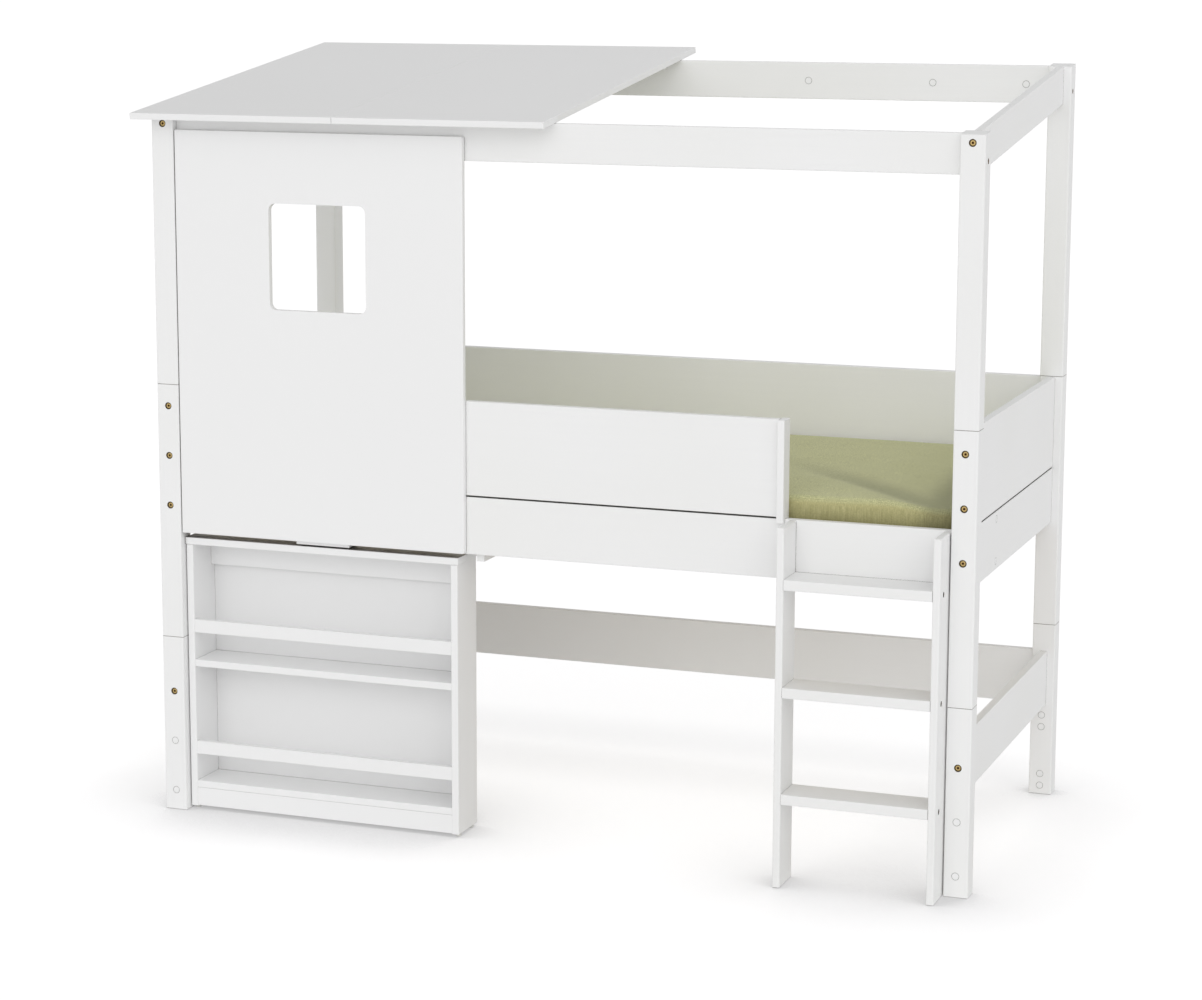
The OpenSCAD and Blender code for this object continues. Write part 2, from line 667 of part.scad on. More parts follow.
wall_screw_l = board_t + wall_t - 5;
module wall_screws() {
    for (x = [wall_x + 90, wall_x + wall_w / 2, wall_x + wall_w - 90])
        for (z = [rail_top_z - 40, guard_mid_z, wall_z + wall_h - 28])
            translate([x, inner_y, z]) rotate([90, 0, 0]) children();
}
module wall_panel() {
    color(white) in_place() difference() {
        translate([wall_x, wall_y, wall_z]) intersection() {
            soft_board([wall_w, wall_t, wall_h]);
            translate([0, wall_t, 0]) rotate([90, 0, 0]) linear_extrude(wall_t) polygon(rounded(wall_w, wall_h, 6, 6));
        }
        window_cut();
        wall_screws() screw_hole(wall_screw_l);
    }
}
module window_cut() {
    translate([wall_x + (wall_w - window_w) / 2, wall_y - 1, window_z]) {
        translate([window_r, 0, 0]) cube([window_w - 2 * window_r, wall_t + 2, window_h]);
        translate([0, 0, window_r]) cube([window_w, wall_t + 2, window_h - 2 * window_r]);
        for (x = [window_r, window_w - window_r]) for (z = [window_r, window_h - window_r])
            translate([x, wall_t + 2, z]) rotate([90, 0, 0]) cylinder(r = window_r, h = wall_t + 2, $fn = 64);
    }
}

// ---- Slats, their bearers and the webbing ----

ledger_screw_l = ledger_t + board_t - 5;
ledger_len = bed_l - 2 * post_w - 20;
module ledger_screws() {
    for (i = [0:4])
        translate([post_w + 80 + i * (bed_l - 2 * post_w - 160) / 4, inner_y + ledger_t, ledger_z + ledger_h / 2])
            rotate([90, 0, 0]) children();
}
bearer_screw_l = ledger_h + 22;
module bearer_screws() {
    translate([bearer_x + bearer_t / 2, inner_y + ledger_t / 2, ledger_top_z]) rotate([180, 0, 0]) children();
}
module slat_bearers() {
    bearer_low = ledger_z - bearer_z;
    color(white) in_place() difference() {
        union() {
            for (rear = [false, true]) at_corner(false, rear)
                translate([post_w + 10, inner_y, ledger_z]) cube([ledger_len, ledger_t, ledger_h]);
            translate([bearer_x, inner_y + touch, bearer_z])
                cube([bearer_t, bed_w - 2 * inner_y - 2 * touch, bearer_low - touch]);
            translate([bearer_x, inner_y + ledger_t + touch, bearer_z])
                cube([bearer_t, bed_w - 2 * (inner_y + ledger_t + touch), ledger_top_z - bearer_z]);
        }
        for (rear = [false, true]) at_corner(false, rear) {
            ledger_screws() screw_hole(ledger_screw_l);
            bearer_screws() screw_hole(bearer_screw_l);
        }
    }
}
module slats() {
    color(timber) in_place() for (i = [0:slat_count - 1])
        translate([slat_x + i * slat_pitch, (bed_w - slat_l) / 2, ledger_top_z])
            soft_board([slat_w, slat_l, slat_t], 3);
}
module slat_straps() {
    color(foam) in_place() for (y = strap_y)
        translate([slat_x + 5, y - strap_w / 2, slat_top_z]) cube([bed_l - 2 * slat_x - 10, strap_w, strap_t]);
}

// ---- Mattress and fitted sheet: rings of points, drawn in at the foot, swelling at the side
// ---- and crowned on top

mattress_z = slat_top_z + strap_t + touch;
mattress_x = inner_x + mattress_end_gap;
mattress_l = bed_l - 2 * mattress_x;
mattress_y = long_bolt_y + guard_stile_d / 2 + mattress_side_gap;
mattress_w = bed_w - inner_y - mattress_side_gap - mattress_y;
top_edge_r = 26;
foot_edge_r = 12;
side_swell = 3;
corner_steps = 6;
// [inset from the outline, height] up the section, for a skin that lies d outside the core
function section(d) = let (h = mattress_h, r = top_edge_r, f = foot_edge_r) concat(
    [for (a = [-90:30:0]) [side_swell + f - (f + d) * cos(a), f + (f + d) * sin(a)]],
    [[-d, h / 2]],
    [for (a = [0:22.5:90]) [side_swell + r - (r + d) * cos(a), h - r + (r + d) * sin(a)]],
    [for (s = [0.12, 0.3, 0.55, 0.8]) [side_swell + r + s * 400, h + d + mattress_crown * sin(90 * s)]]
);
function ring(p) = let (
        in = p[0], l = mattress_l - 2 * in, w = mattress_w - 2 * in,
        r = max(mattress_corner_r - in, 6)
    ) [for (c = [[l - r, w - r, 0], [r, w - r, 90], [r, r, 180], [l - r, r, 270]])
        for (i = [0:corner_steps]) let (a = c[2] + i * 90 / corner_steps)
            [in + c[0] + r * cos(a), in + c[1] + r * sin(a), p[1]]];
// Closed skin through rings that all have the same number of points
module lofted(rings) {
    n = len(rings[0]);
    m = len(rings);
    polyhedron(
        points = [for (r = rings) each r],
        faces = concat(
            [[for (i = [0:n - 1]) i]],
            [for (k = [0:m - 2]) for (i = [0:n - 1]) let (a = k * n + i, b = k * n + (i + 1) % n)
                each [[a, a + n, b], [b, a + n, b + n]]],
            [[for (i = [n - 1:-1:0]) (m - 1) * n + i]]
        )
    );
}
core_in = sheet_t + touch;
module mattress() {
    color(foam) in_place() translate([mattress_x, mattress_y, mattress_z + core_in])
        lofted([for (p = section(0)) ring([p[0] + core_in, p[1]])]);
}
module fitted_sheet() {
    inner = section(touch);
    outer = section(core_in);
    last = len(inner) - 1;
    color(sheet_green) in_place() translate([mattress_x, mattress_y, mattress_z + core_in]) lofted(concat(
        [for (k = [last:-1:0]) ring([inner[k][0] + core_in, inner[k][1]])],
        [ring([sheet_hem, -touch]), ring([sheet_hem, -core_in])],
        [for (k = [0:last]) ring([outer[k][0] + core_in, outer[k][1]])]
    ));
}

// ---- Ladder ----

tread_dowel_l = 46;
tread_dowel_in = 12;
tread_zs = [for (i = [0:2]) tread_first_z + i * tread_rise];
ladder_screw_l = board_t + 40;
module at_tread_ends() {
    translate([ladder_x0, 0, 0]) children();
    translate([ladder_x1, 0, 0]) mirror([1, 0, 0]) children();
}
module tread_bolts() { at_tread_ends() for (z = tread_zs) translate([0, tread_bolt_y, z]) rotate([0, 90, 0]) children(); }
module tread_nuts() {
    at_tread_ends() for (z = tread_zs)
        translate([stile_t + nut_in, tread_bolt_y, z - tread_t / 2]) rotate([0, 0, 90]) children();
}
module tread_dowels() {
    at_tread_ends() for (z = tread_zs)
        translate([stile_t - tread_dowel_in, tread_dowel_y, z]) rotate([0, 90, 0]) children();
}
// From the inside of the side rail into the back edge of each stile
module ladder_screws() {
    for (x = [ladder_x0 + stile_t / 2, ladder_x1 - stile_t / 2]) for (z = [rail_top_z - 62, rail_top_z - 22])
        translate([x, inner_y, z]) rotate([90, 0, 0]) children();
}
module ladder_stile(x) {
    color(white) in_place() difference() {
        translate([x, ladder_y, 0]) soft_board([stile_t, stile_d, ladder_h], 3);
        tread_bolts() bolt_hole(small_counterbore_d, tread_bolt_l);
        tread_dowels() cylinder(d = dowel_d + hole_play, h = tread_dowel_l, $fn = 24);
        ladder_screws() screw_hole(ladder_screw_l);
    }
}
module ladder_stile_left() { ladder_stile(ladder_x0); }
module ladder_stile_right() { ladder_stile(ladder_x1 - stile_t); }
module ladder_tread(i) {
    color(white) in_place() difference() {
        board_x(ladder_x0 + stile_t, ladder_x1 - stile_t, ladder_y + 0.5, tread_zs[i] - tread_t / 2, stile_d - 1, tread_t);
        tread_bolts() bolt_hole(small_counterbore_d, tread_bolt_l);
        tread_nuts() translate([0, 0, (tread_t - board_t) / 2]) translate([0, 0, -tread_t / 2]) cross_nut_bore();
        tread_dowels() cylinder(d = dowel_d + hole_play, h = tread_dowel_l + 1, $fn = 24);
    }
}
// The tread is thicker than a board, so its cross dowel bore starts lower
module cross_nut_bore() {
    cylinder(d = cross_dowel_d + hole_play, h = (tread_t + board_t + nut_l) / 2 + touch, $fn = 32);
}

// ---- Bookcase ----

case_dowel_l = 34;
case_dowel_in = 11;
// [depth from the front, height] of the dowels between the sides and what they carry
case_dowel_sites = concat(
    [for (z = [shelf_low_z, shelf_mid_z]) for (y = [40, bookcase_d - 30]) [y, z - bookcase_t / 2]],
    [for (z = [shelf_low_z, shelf_mid_z]) [lip_set + lip_t / 2, z + lip_rise + lip_h / 2]],
    [[lip_set + bookcase_t / 2, (glide_h + shelf_low_z - bookcase_t) / 2],
     [bookcase_d - back_t - 1 - bookcase_t / 2, case_top_z - stretcher_h / 2]]
);
module both_sides() {
    children();
    translate([bookcase_w, 0, 0]) mirror([1, 0, 0]) children();
}
module case_dowels(l) {
    both_sides() for (s = case_dowel_sites) translate([bookcase_t - case_dowel_in, s[0], s[1]]) rotate([0, 90, 0])
        children();
}
module top_dowels() {
    both_sides() for (y = [30, bookcase_d - 30])
        translate([bookcase_t / 2, y, case_top_z + case_dowel_in - case_dowel_l]) children();
}
module dowel_hole() { translate([0, 0, -touch]) cylinder(d = dowel_d + hole_play, h = case_dowel_l + 2 * touch, $fn = 24); }
module in_bookcase() { translate([bookcase_x, bookcase_y, 0]) children(); }
module back_groove() {
    translate([bookcase_t - 6, bookcase_d - back_t - 1.1, glide_h + 20])
        cube([bookcase_in + 12, back_t + 0.2, case_top_z + 6 - glide_h - 20]);
}
module bookcase_top() {
    color(white) in_place() in_bookcase() difference() {
        translate([-bookcase_over, -bookcase_over, case_top_z])
            soft_board([bookcase_w + 2 * bookcase_over, bookcase_d + bookcase_over, bookcase_t], 1.5);
        top_dowels() dowel_hole();
        back_groove();
    }
}
module bookcase_side() {
    difference() {
        translate([0, 0, glide_h]) soft_board([bookcase_t, bookcase_d, case_top_z - glide_h], 1.5);
        case_dowels() dowel_hole();
        top_dowels() dowel_hole();
        back_groove();
    }
}
module bookcase_side_left() { color(white) in_place() in_bookcase() bookcase_side(); }
module bookcase_side_right() {
    color(white) in_place() in_bookcase() translate([bookcase_w, 0, 0]) mirror([1, 0, 0]) bookcase_side();
}
module shelf(z) {
    color(white) in_place() in_bookcase() difference() {
        board_x(bookcase_t, bookcase_w - bookcase_t, lip_set, z - bookcase_t,
            bookcase_d - back_t - 1.2 - lip_set, bookcase_t, 1.5);
        case_dowels() dowel_hole();
    }
}
module bookcase_shelf_middle() { shelf(shelf_mid_z); }
module bookcase_shelf_low() { shelf(shelf_low_z); }
module bookcase_plinth() {
    color(white) in_place() in_bookcase() difference() {
        board_x(bookcase_t, bookcase_w - bookcase_t, lip_set, glide_h + 2,
            bookcase_t, shelf_low_z - bookcase_t - glide_h - 2, 1);
        case_dowels() dowel_hole();
    }
}
module bookcase_lips() {
    color(white) in_place() in_bookcase() difference() {
        for (z = [shelf_low_z, shelf_mid_z])
            board_x(bookcase_t, bookcase_w - bookcase_t, lip_set, z + lip_rise, lip_t, lip_h);
        case_dowels() dowel_hole();
    }
}
module bookcase_stretcher() {
    color(white) in_place() in_bookcase() difference() {
        board_x(bookcase_t, bookcase_w - bookcase_t, bookcase_d - back_t - 1.2 - bookcase_t,
            case_top_z - stretcher_h, bookcase_t, stretcher_h, 1);
        case_dowels() dowel_hole();
    }
}
module bookcase_back() {
    color(white) in_place() in_bookcase()
        translate([bookcase_t - 5.8, bookcase_d - back_t - 1, glide_h + 20.2])
            cube([bookcase_in + 11.6, back_t, case_top_z + 5.6 - glide_h - 20.2]);
}
module bookcase_glides() {
    color("#d0d0cc") in_place() in_bookcase() both_sides() for (y = [20, bookcase_d - 20])
        translate([bookcase_t / 2, y, 0]) rotate_extrude($fn = 32)
            polygon([[0, 0], [6, 0], [7, 1], [7, glide_h - 2], [6, glide_h], [0, glide_h]]);
}
module bookcase_dowels() {
    color(timber) in_place() in_bookcase() {
        case_dowels() cylinder(d = dowel_d, h = case_dowel_l, $fn = 24);
        top_dowels() cylinder(d = dowel_d, h = case_dowel_l, $fn = 24);
    }
}
// A plate under the side rail, just above the bookcase, that keeps it from tipping forward
plate_x = 370;
plate_w = 144;
plate_d = 52;
plate_screw_l = plate_t + 24;
module plate_screws() {
    for (x = [plate_x + 30, plate_x + plate_w - 30]) translate([x, long_bolt_y, side_rail_z - plate_t]) children();
}
module rail_plate() {
    color(white) in_place() difference() {
        translate([plate_x, board_recess + touch, side_rail_z - plate_t]) soft_board([plate_w, plate_d, plate_t], 1);
        plate_screws() screw_hole(plate_screw_l);
    }
}

// ---- Fastener groups ----

module connector_bolts() {
    color(brass) in_place() {
        for (right = [false, true]) for (rear = [false, true]) at_corner(right, rear) {
            for (z = end_bolt_zs(rear)) end_bolt_at(z) connector_bolt(bolt_head_d, counterbore_d, bolt_l);
            long_bolt_at(long_canopy_bolt_z(rear)) connector_bolt(small_head_d, small_counterbore_d, long_bolt_l);
        }
        tread_bolts() connector_bolt(small_head_d, small_counterbore_d, tread_bolt_l);
    }
}
module cross_dowels() {
    color(steel) in_place() {
        for (right = [false, true]) for (rear = [false, true]) at_corner(right, rear) {
            for (z = end_bolt_zs(rear)) end_nut_at(z) cross_dowel();
            long_nut_at(long_canopy_bolt_z(rear)) cross_dowel();
        }
        tread_nuts() translate([0, 0, (tread_t - board_t) / 2]) cross_dowel();
    }
}
module hook_connectors() {
    color(steel) in_place() for (right = [false, true]) for (rear = [false, true]) at_corner(right, rear)
        for (z = hook_zs(right, rear)) hook_at(z) {
            keeper_plate();
            hook_plate();
        }
}
module cover_plugs() {
    color(white) in_place() {
        for (right = [false, true]) for (rear = [false, true]) leg_plugs(right, rear) plug();
        canopy_plugs() plug();
        end_rail_plugs() plug();
    }
}
module wood_screws() {
    color(steel) in_place() {
        wall_screws() wood_screw(wall_screw_l);
        ladder_screws() wood_screw(ladder_screw_l);
        plate_screws() wood_screw(plate_screw_l);
        roof_screws() wood_screw(cleat_roof_screw_l);
        batten_screws() wood_screw(batten_screw_l);
        for (rear = [false, true]) cleat_screws(rear) wood_screw(cleat_screw_l);
        for (rear = [false, true]) at_corner(false, rear) {
            ledger_screws() wood_screw(ledger_screw_l);
            bearer_screws() wood_screw(bearer_screw_l);
        }
    }
}

post_lower(false, false);  // post_lower_front_left
post_lower(true, false);  // post_lower_front_right
post_lower(false, true);  // post_lower_rear_left
post_lower(true, true);  // post_lower_rear_right
post_middle(false, false);  // post_middle_front_left
post_middle(true, false);  // post_middle_front_right
post_middle(false, true);  // post_middle_rear_left
post_middle(true, true);  // post_middle_rear_right
post_upper(false, false);  // post_upper_front_left
post_upper(true, false);  // post_upper_front_right
post_upper(false, true);  // post_upper_rear_left
post_upper(true, true);  // post_upper_rear_right
low_board_rear();
low_board_left();
low_board_right();
side_rail_front();
side_rail_rear();
end_rail_left();
end_rail_right();
guard_front();
guard_rear();
guard_left();
guard_right();
guard_stile();
canopy_rail_front();
canopy_rail_rear();
canopy_rail_left();
canopy_rail_right();
roof_board_left();
roof_board_right();
roof_battens();
wall_panel();
slat_bearers();
slats();
slat_straps();
mattress();
fitted_sheet();
ladder_stile_left();
ladder_stile_right();
ladder_tread(0);  // ladder_tread_low
ladder_tread(1);  // ladder_tread_middle
ladder_tread(2);  // ladder_tread_top
bookcase_top();
bookcase_side_left();
bookcase_side_right();
bookcase_shelf_middle();
bookcase_shelf_low();
bookcase_plinth();
bookcase_lips();
bookcase_back();
bookcase_stretcher();
bookcase_glides();
bookcase_dowels();
rail_plate();
connector_bolts();
cross_dowels();
joint_pins();
hook_connectors();
cover_plugs();
wood_screws();
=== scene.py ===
# A white cabin bed: post-and-board frame, sloping canopy with half a roof, window wall, ladder, bookcase.
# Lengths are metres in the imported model's frame, and places come from its nodes.
import math

import bmesh
import bpy
import numpy
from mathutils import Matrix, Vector, noise


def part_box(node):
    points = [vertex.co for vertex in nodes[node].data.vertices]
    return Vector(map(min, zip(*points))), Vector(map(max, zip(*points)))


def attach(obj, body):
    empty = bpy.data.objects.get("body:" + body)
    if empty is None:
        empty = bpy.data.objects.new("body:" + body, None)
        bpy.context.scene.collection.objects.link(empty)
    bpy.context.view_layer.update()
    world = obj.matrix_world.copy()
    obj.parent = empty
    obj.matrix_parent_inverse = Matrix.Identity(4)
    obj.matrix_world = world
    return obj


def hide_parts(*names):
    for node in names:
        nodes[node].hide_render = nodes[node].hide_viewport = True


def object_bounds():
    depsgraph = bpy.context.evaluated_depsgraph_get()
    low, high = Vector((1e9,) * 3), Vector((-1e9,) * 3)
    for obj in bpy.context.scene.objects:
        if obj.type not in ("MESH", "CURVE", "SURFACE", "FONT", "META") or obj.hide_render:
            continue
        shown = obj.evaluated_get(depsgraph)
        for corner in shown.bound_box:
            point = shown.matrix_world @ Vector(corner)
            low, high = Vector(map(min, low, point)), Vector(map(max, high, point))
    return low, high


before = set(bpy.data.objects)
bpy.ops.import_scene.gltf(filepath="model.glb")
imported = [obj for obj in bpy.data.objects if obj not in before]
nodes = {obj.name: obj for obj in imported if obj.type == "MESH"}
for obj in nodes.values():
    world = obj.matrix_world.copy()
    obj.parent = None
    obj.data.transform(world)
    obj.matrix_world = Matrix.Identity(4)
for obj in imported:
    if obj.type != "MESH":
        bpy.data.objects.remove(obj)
cad_low, cad_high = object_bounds()
scene = bpy.context.scene


# --- Studio -----------------------------------------------------------------------------------------
# The bed stands on a white floor that runs out of sight, in the soft even light of a large studio:
# a pale dome all round and five broad lamps, the strongest in front and to the front right.

IMAGE_W = 1202
FOCAL_PX = 3025
CAMERA_AT = (2.575, -7.132, 2.188)
CAMERA_PITCH = math.radians(9.80)
CAMERA_YAW = math.radians(21.08)
SHIFT = (0.0447, -0.030)
DOME_LIGHT = 0.536
FLOOR_HALF = 200
FLOOR_DROP = 0.0005
FLOOR_GLOW = (0.125, 0.145)
FLOOR_NEAR, FLOOR_FAR = 1.2, 3.2
FLOOR_SEEN = 0.79
SHADOW_REACH = 0.45
SHADOW_DEEP = 0.36
SHADOW_OPEN = (0.45, 0.97)
LAMP_WIDTH = math.radians(50)
# Bearing from the bed's front towards its right, height above the floor, and strength.
LAMPS = {"front": (0, 20, 0.62), "front_right": (45, 35, 0.48), "right": (90, 20, 0.20),
         "front_left": (-45, 35, 0.10), "rear": (180, 20, 0.08)}


def linear(code):
    """The linear colour of an sRGB hex code, with alpha."""
    parts = [int(code[i:i + 2], 16) / 255 for i in (1, 3, 5)]
    return tuple(c / 12.92 if c <= 0.04045 else ((c + 0.055) / 1.055) ** 2.4 for c in parts) + (1.0,)


def add(tree, kind, inputs=None, **settings):
    """Adds a node to a tree. Each input is a value, an output, or a node, which gives its first output."""
    node = tree.nodes.new(kind)
    for name, value in settings.items():
        setattr(node, name, value)
    for key, value in (inputs or {}).items():
        if isinstance(value, bpy.types.Node):
            value = next(output for output in value.outputs if output.enabled)
        if isinstance(value, bpy.types.NodeSocket):
            tree.links.new(value, node.inputs[key])
        else:
            node.inputs[key].default_value = value
    return node


def new_material(name):
    """An empty node material and its tree."""
    material = bpy.data.materials.new(name)
    material.use_nodes = True
    material.node_tree.nodes.clear()
    return material, material.node_tree


def put(name, data):
    """A new object of this name and data, in the scene."""
    thing = bpy.data.objects.new(name, data)
    scene.collection.objects.link(thing)
    return thing


def mesh_of(shape, name):
    """The mesh that a bmesh shape makes; the shape is used up."""
    mesh = bpy.data.meshes.new(name)
    shape.to_mesh(mesh)
    shape.free()
    return mesh


camera_data = bpy.data.cameras.new("camera")
camera_data.sensor_width = 36
camera_data.lens = FOCAL_PX / IMAGE_W * camera_data.sensor_width
camera_data.shift_x, camera_data.shift_y = SHIFT
camera = put("camera", camera_data)
camera.location = CAMERA_AT
camera.rotation_euler = (math.pi / 2 - CAMERA_PITCH, 0, CAMERA_YAW)
scene.camera = camera
scene.view_settings.view_transform = "Standard"

world = bpy.data.worlds.new("studio_dome")
world.use_nodes = True
scene.world = world
tree = world.node_tree
tree.nodes.clear()
seen = add(tree, "ShaderNodeLightPath").outputs["Is Camera Ray"]
strength = add(tree, "ShaderNodeMapRange", {"Value": seen, "To Min": DOME_LIGHT, "To Max": 1.0})
dome = add(tree, "ShaderNodeBackground", {"Color": (1, 1, 1, 1), "Strength": strength})
add(tree, "ShaderNodeOutputWorld", {"Surface": dome})

shape = bmesh.new()
bmesh.ops.create_grid(shape, x_segments=1, y_segments=1, size=FLOOR_HALF)
floor = put("floor", mesh_of(shape, "floor"))
floor.location = (0, 0, cad_low.z - FLOOR_DROP)
material, tree = new_material("white_studio_floor")
# White paper that also glows: it lights the bed softly from below, less from close by, where its tone
# and glow are darker, as painted shade for the bed standing in its own light. Seen itself, it glows nearly
# white, and painted shadow dims it close around the feet, as under many small lamps.
place = add(tree, "ShaderNodeTexCoord").outputs["Object"]
out = add(tree, "ShaderNodeVectorMath", {0: place}, operation="LENGTH")
away = add(tree, "ShaderNodeMapRange", {"Value": out, "From Min": FLOOR_NEAR,
                                        "From Max": FLOOR_FAR}, interpolation_type="SMOOTHSTEP")
tone = add(tree, "ShaderNodeMix", {"Factor": away, "A": linear("#f0f0f0"), "B": linear("#f4f4f4")},
           data_type="RGBA")
power = add(tree, "ShaderNodeMapRange", {"Value": away, "To Min": FLOOR_GLOW[0], "To Max": FLOOR_GLOW[1]})
paper = add(tree, "ShaderNodeBsdfDiffuse", {"Color": tone})
glow = add(tree, "ShaderNodeEmission", {"Color": (1, 1, 1, 1), "Strength": power})
lighting = add(tree, "ShaderNodeAddShader", {0: paper, 1: glow})
open_sky = add(tree, "ShaderNodeAmbientOcclusion", {"Distance": SHADOW_REACH}, samples=4).outputs["AO"]
painted_shadow_glow = add(tree, "ShaderNodeMapRange",
             {"Value": open_sky, "From Min": SHADOW_OPEN[0], "From Max": SHADOW_OPEN[1],
              "To Min": SHADOW_DEEP, "To Max": FLOOR_SEEN})
pale = add(tree, "ShaderNodeBsdfDiffuse", {"Color": linear("#a1a0a1")})
white = add(tree, "ShaderNodeEmission", {"Color": linear("#fefefe"), "Strength": painted_shadow_glow})
shown = add(tree, "ShaderNodeAddShader", {0: pale, 1: white})
seen = add(tree, "ShaderNodeLightPath").outputs["Is Camera Ray"]
both = add(tree, "ShaderNodeMixShader", {"Fac": seen, 1: lighting, 2: shown})
add(tree, "ShaderNodeOutputMaterial", {"Surface": both})
floor.data.materials.append(material)

for name, (bearing, height, power) in LAMPS.items():
    lamp_data = bpy.data.lights.new(f"{name}_lamp", "SUN")
    lamp_data.energy = power
    lamp_data.angle = LAMP_WIDTH
    lamp = put(f"{name}_lamp", lamp_data)
    turn, rise = math.radians(bearing), math.radians(height)
    towards = Vector((math.sin(turn) * math.cos(rise), -math.cos(turn) * math.cos(rise), math.sin(rise)))
    lamp.rotation_euler = towards.to_track_quat("Z", "Y").to_euler()


# --- Posts ------------------------------------------------------------------------------------------
# Each post is three lengths of solid pine standing on one another. They are planed, sanded and sprayed
# with satin white lacquer, which leaves the grain as faint ridges along the piece.

# Painted shade in joints and crevices: how far it looks round, the open shares between which it fades, and
# its tone.
JOINT_SHADE = (0.003, 0.2, 0.75, "#84827d")
SEAM_AND_GAP_SHADE_TONE = "#7d7d79"
SEAM_HALF = 0.0006
BARE_UNDER_TOP = 0.008
# Farther than the bed reaches.
FAR = 9.0


def cells(width):
    """The scale of a pattern whose cells are this many millimetres wide."""
    return 1000 / width


def lacquered_pine(name, along, tilt=0.0, bored=None, bare_shade_tone="#6f522f", seams=(), seam_half=SEAM_HALF,
                   seam_right=FAR):
    """Satin white lacquer on pine with its grain along axis 0, 1 or 2, tilted about X, with painted shade in
    its joints. Bored gives a middle, the distances from it between which the wood is bare, and the bare
    wood's top with its slope; the bare wood gets bare_shade_tone, bare wood darkened by painted shade of
    the bore. Seams are heights of thin dark lines between boards, or of dark bands of painted shade in a
    gap, as far as seam_right."""
    material, tree = new_material(name)
    place = add(tree, "ShaderNodeTexCoord").outputs["Object"]
    grain_place = place
    if tilt:
        grain_place = add(tree, "ShaderNodeMapping", {"Vector": place, "Rotation": (-tilt, 0, 0)})
    ring_width, lengthwise = 0.0045, 0.022
    stretch = [1 / ring_width] * 3
    stretch[along] *= lengthwise
    drawn = add(tree, "ShaderNodeMapping", {"Vector": grain_place, "Scale": tuple(stretch)})
    rings = add(tree, "ShaderNodeTexNoise", {"Vector": drawn, "Scale": 0.55, "Detail": 3.0, "Roughness": 0.45,
                                             "Distortion": 0.9})
    pores = add(tree, "ShaderNodeTexNoise", {"Vector": drawn, "Scale": 3.2, "Detail": 2.0})
    clouds = add(tree, "ShaderNodeTexNoise", {"Vector": place, "Scale": cells(417), "Detail": 1.0})
    mist = add(tree, "ShaderNodeTexNoise", {"Vector": place, "Scale": cells(1.43), "Detail": 1.0})
    tone = add(tree, "ShaderNodeMix", {"Factor": rings, "A": linear("#f0f0f0"), "B": linear("#f3f3f3")},
               data_type="RGBA")
    shade = add(tree, "ShaderNodeMapRange", {"Value": clouds, "From Min": 0.3, "From Max": 0.7})
    tone = add(tree, "ShaderNodeMix", {"Factor": shade, "A": tone, "B": linear("#f0f0ef")}, data_type="RGBA")
    height = add(tree, "ShaderNodeSeparateXYZ", {"Vector": place}).outputs
    for seam in seams:
        off = add(tree, "ShaderNodeMath", {0: height["Z"], 1: seam, 2: seam_half}, operation="COMPARE")
        left = add(tree, "ShaderNodeMath", {0: height["X"], 1: seam_right}, operation="LESS_THAN")
        line = add(tree, "ShaderNodeMath", {0: off, 1: left}, operation="MULTIPLY")
        tone = add(tree, "ShaderNodeMix", {"Factor": line, "A": tone, "B": linear(SEAM_AND_GAP_SHADE_TONE)},
                   data_type="RGBA")
    if bored:
        middle, near, far, top, slope = bored
        centre = [(a + b) / 2 for a, b in zip(near, far)] + [0]
        half = [(b - a) / 2 for a, b in zip(near, far)] + [FAR]
        beside = add(tree, "ShaderNodeVectorMath", {0: place, 1: middle}, operation="SUBTRACT")
        beside = add(tree, "ShaderNodeVectorMath", {0: beside}, operation="ABSOLUTE")
        beside = add(tree, "ShaderNodeVectorMath", {0: beside, 1: centre}, operation="SUBTRACT")
        beside = add(tree, "ShaderNodeVectorMath", {0: beside}, operation="ABSOLUTE")
        beside = add(tree, "ShaderNodeVectorMath", {0: beside, 1: half}, operation="SUBTRACT")
        beside = add(tree, "ShaderNodeSeparateXYZ", {"Vector": beside}).outputs
        outside = add(tree, "ShaderNodeMath", {0: beside["X"], 1: beside["Y"]}, operation="MAXIMUM")
        rise = add(tree, "ShaderNodeVectorMath", {0: place, 1: (0, -slope, 1)}, operation="DOT_PRODUCT")
        over = add(tree, "ShaderNodeMath", {0: rise, 1: top}, operation="SUBTRACT")
        outside = add(tree, "ShaderNodeMath", {0: outside, 1: over}, operation="MAXIMUM")
        bare = add(tree, "ShaderNodeMath", {0: outside, 1: 0.0}, operation="LESS_THAN")
        tone = add(tree, "ShaderNodeMix", {"Factor": bare, "A": tone, "B": linear(bare_shade_tone)},
                   data_type="RGBA")
    tone = painted_crevice_shade(tree, tone, *JOINT_SHADE)
    gloss = add(tree, "ShaderNodeMapRange", {"Value": pores, "To Min": 0.38, "To Max": 0.48})
    ridges = add(tree, "ShaderNodeBump", {"Height": rings, "Distance": 0.00012, "Strength": 0.5})
    grain = add(tree, "ShaderNodeBump", {"Height": pores, "Distance": 0.00005, "Strength": 0.6,
                                         "Normal": ridges})
    skin = add(tree, "ShaderNodeBump", {"Height": mist, "Distance": 0.00003, "Strength": 0.6,
                                        "Normal": grain})
    lacquer = add(tree, "ShaderNodeBsdfPrincipled", {
        "Base Color": tone, "Roughness": gloss, "IOR": 1.5, "Specular IOR Level": 0.4, "Normal": skin})
    add(tree, "ShaderNodeOutputMaterial", {"Surface": lacquer})
    return material


def painted_crevice_shade(tree, tone, reach, open_from, open_to, dark):
    """The tone with painted shade: darker the less a place sees of the room within reach, as in the joint
    between two boards.
    """
    open_share = add(tree, "ShaderNodeAmbientOcclusion", {"Distance": reach}, samples=4).outputs["AO"]
    unshaded = add(tree, "ShaderNodeMapRange", {"Value": open_share, "From Min": open_from, "From Max": open_to})
    return add(tree, "ShaderNodeMix", {"Factor": unshaded, "A": linear(dark), "B": tone}, data_type="RGBA")


def finish_nodes(material, *names):
    """Gives these CAD nodes one material."""
    for name in names:
        nodes[name].data.materials.clear()
        nodes[name].data.materials.append(material)
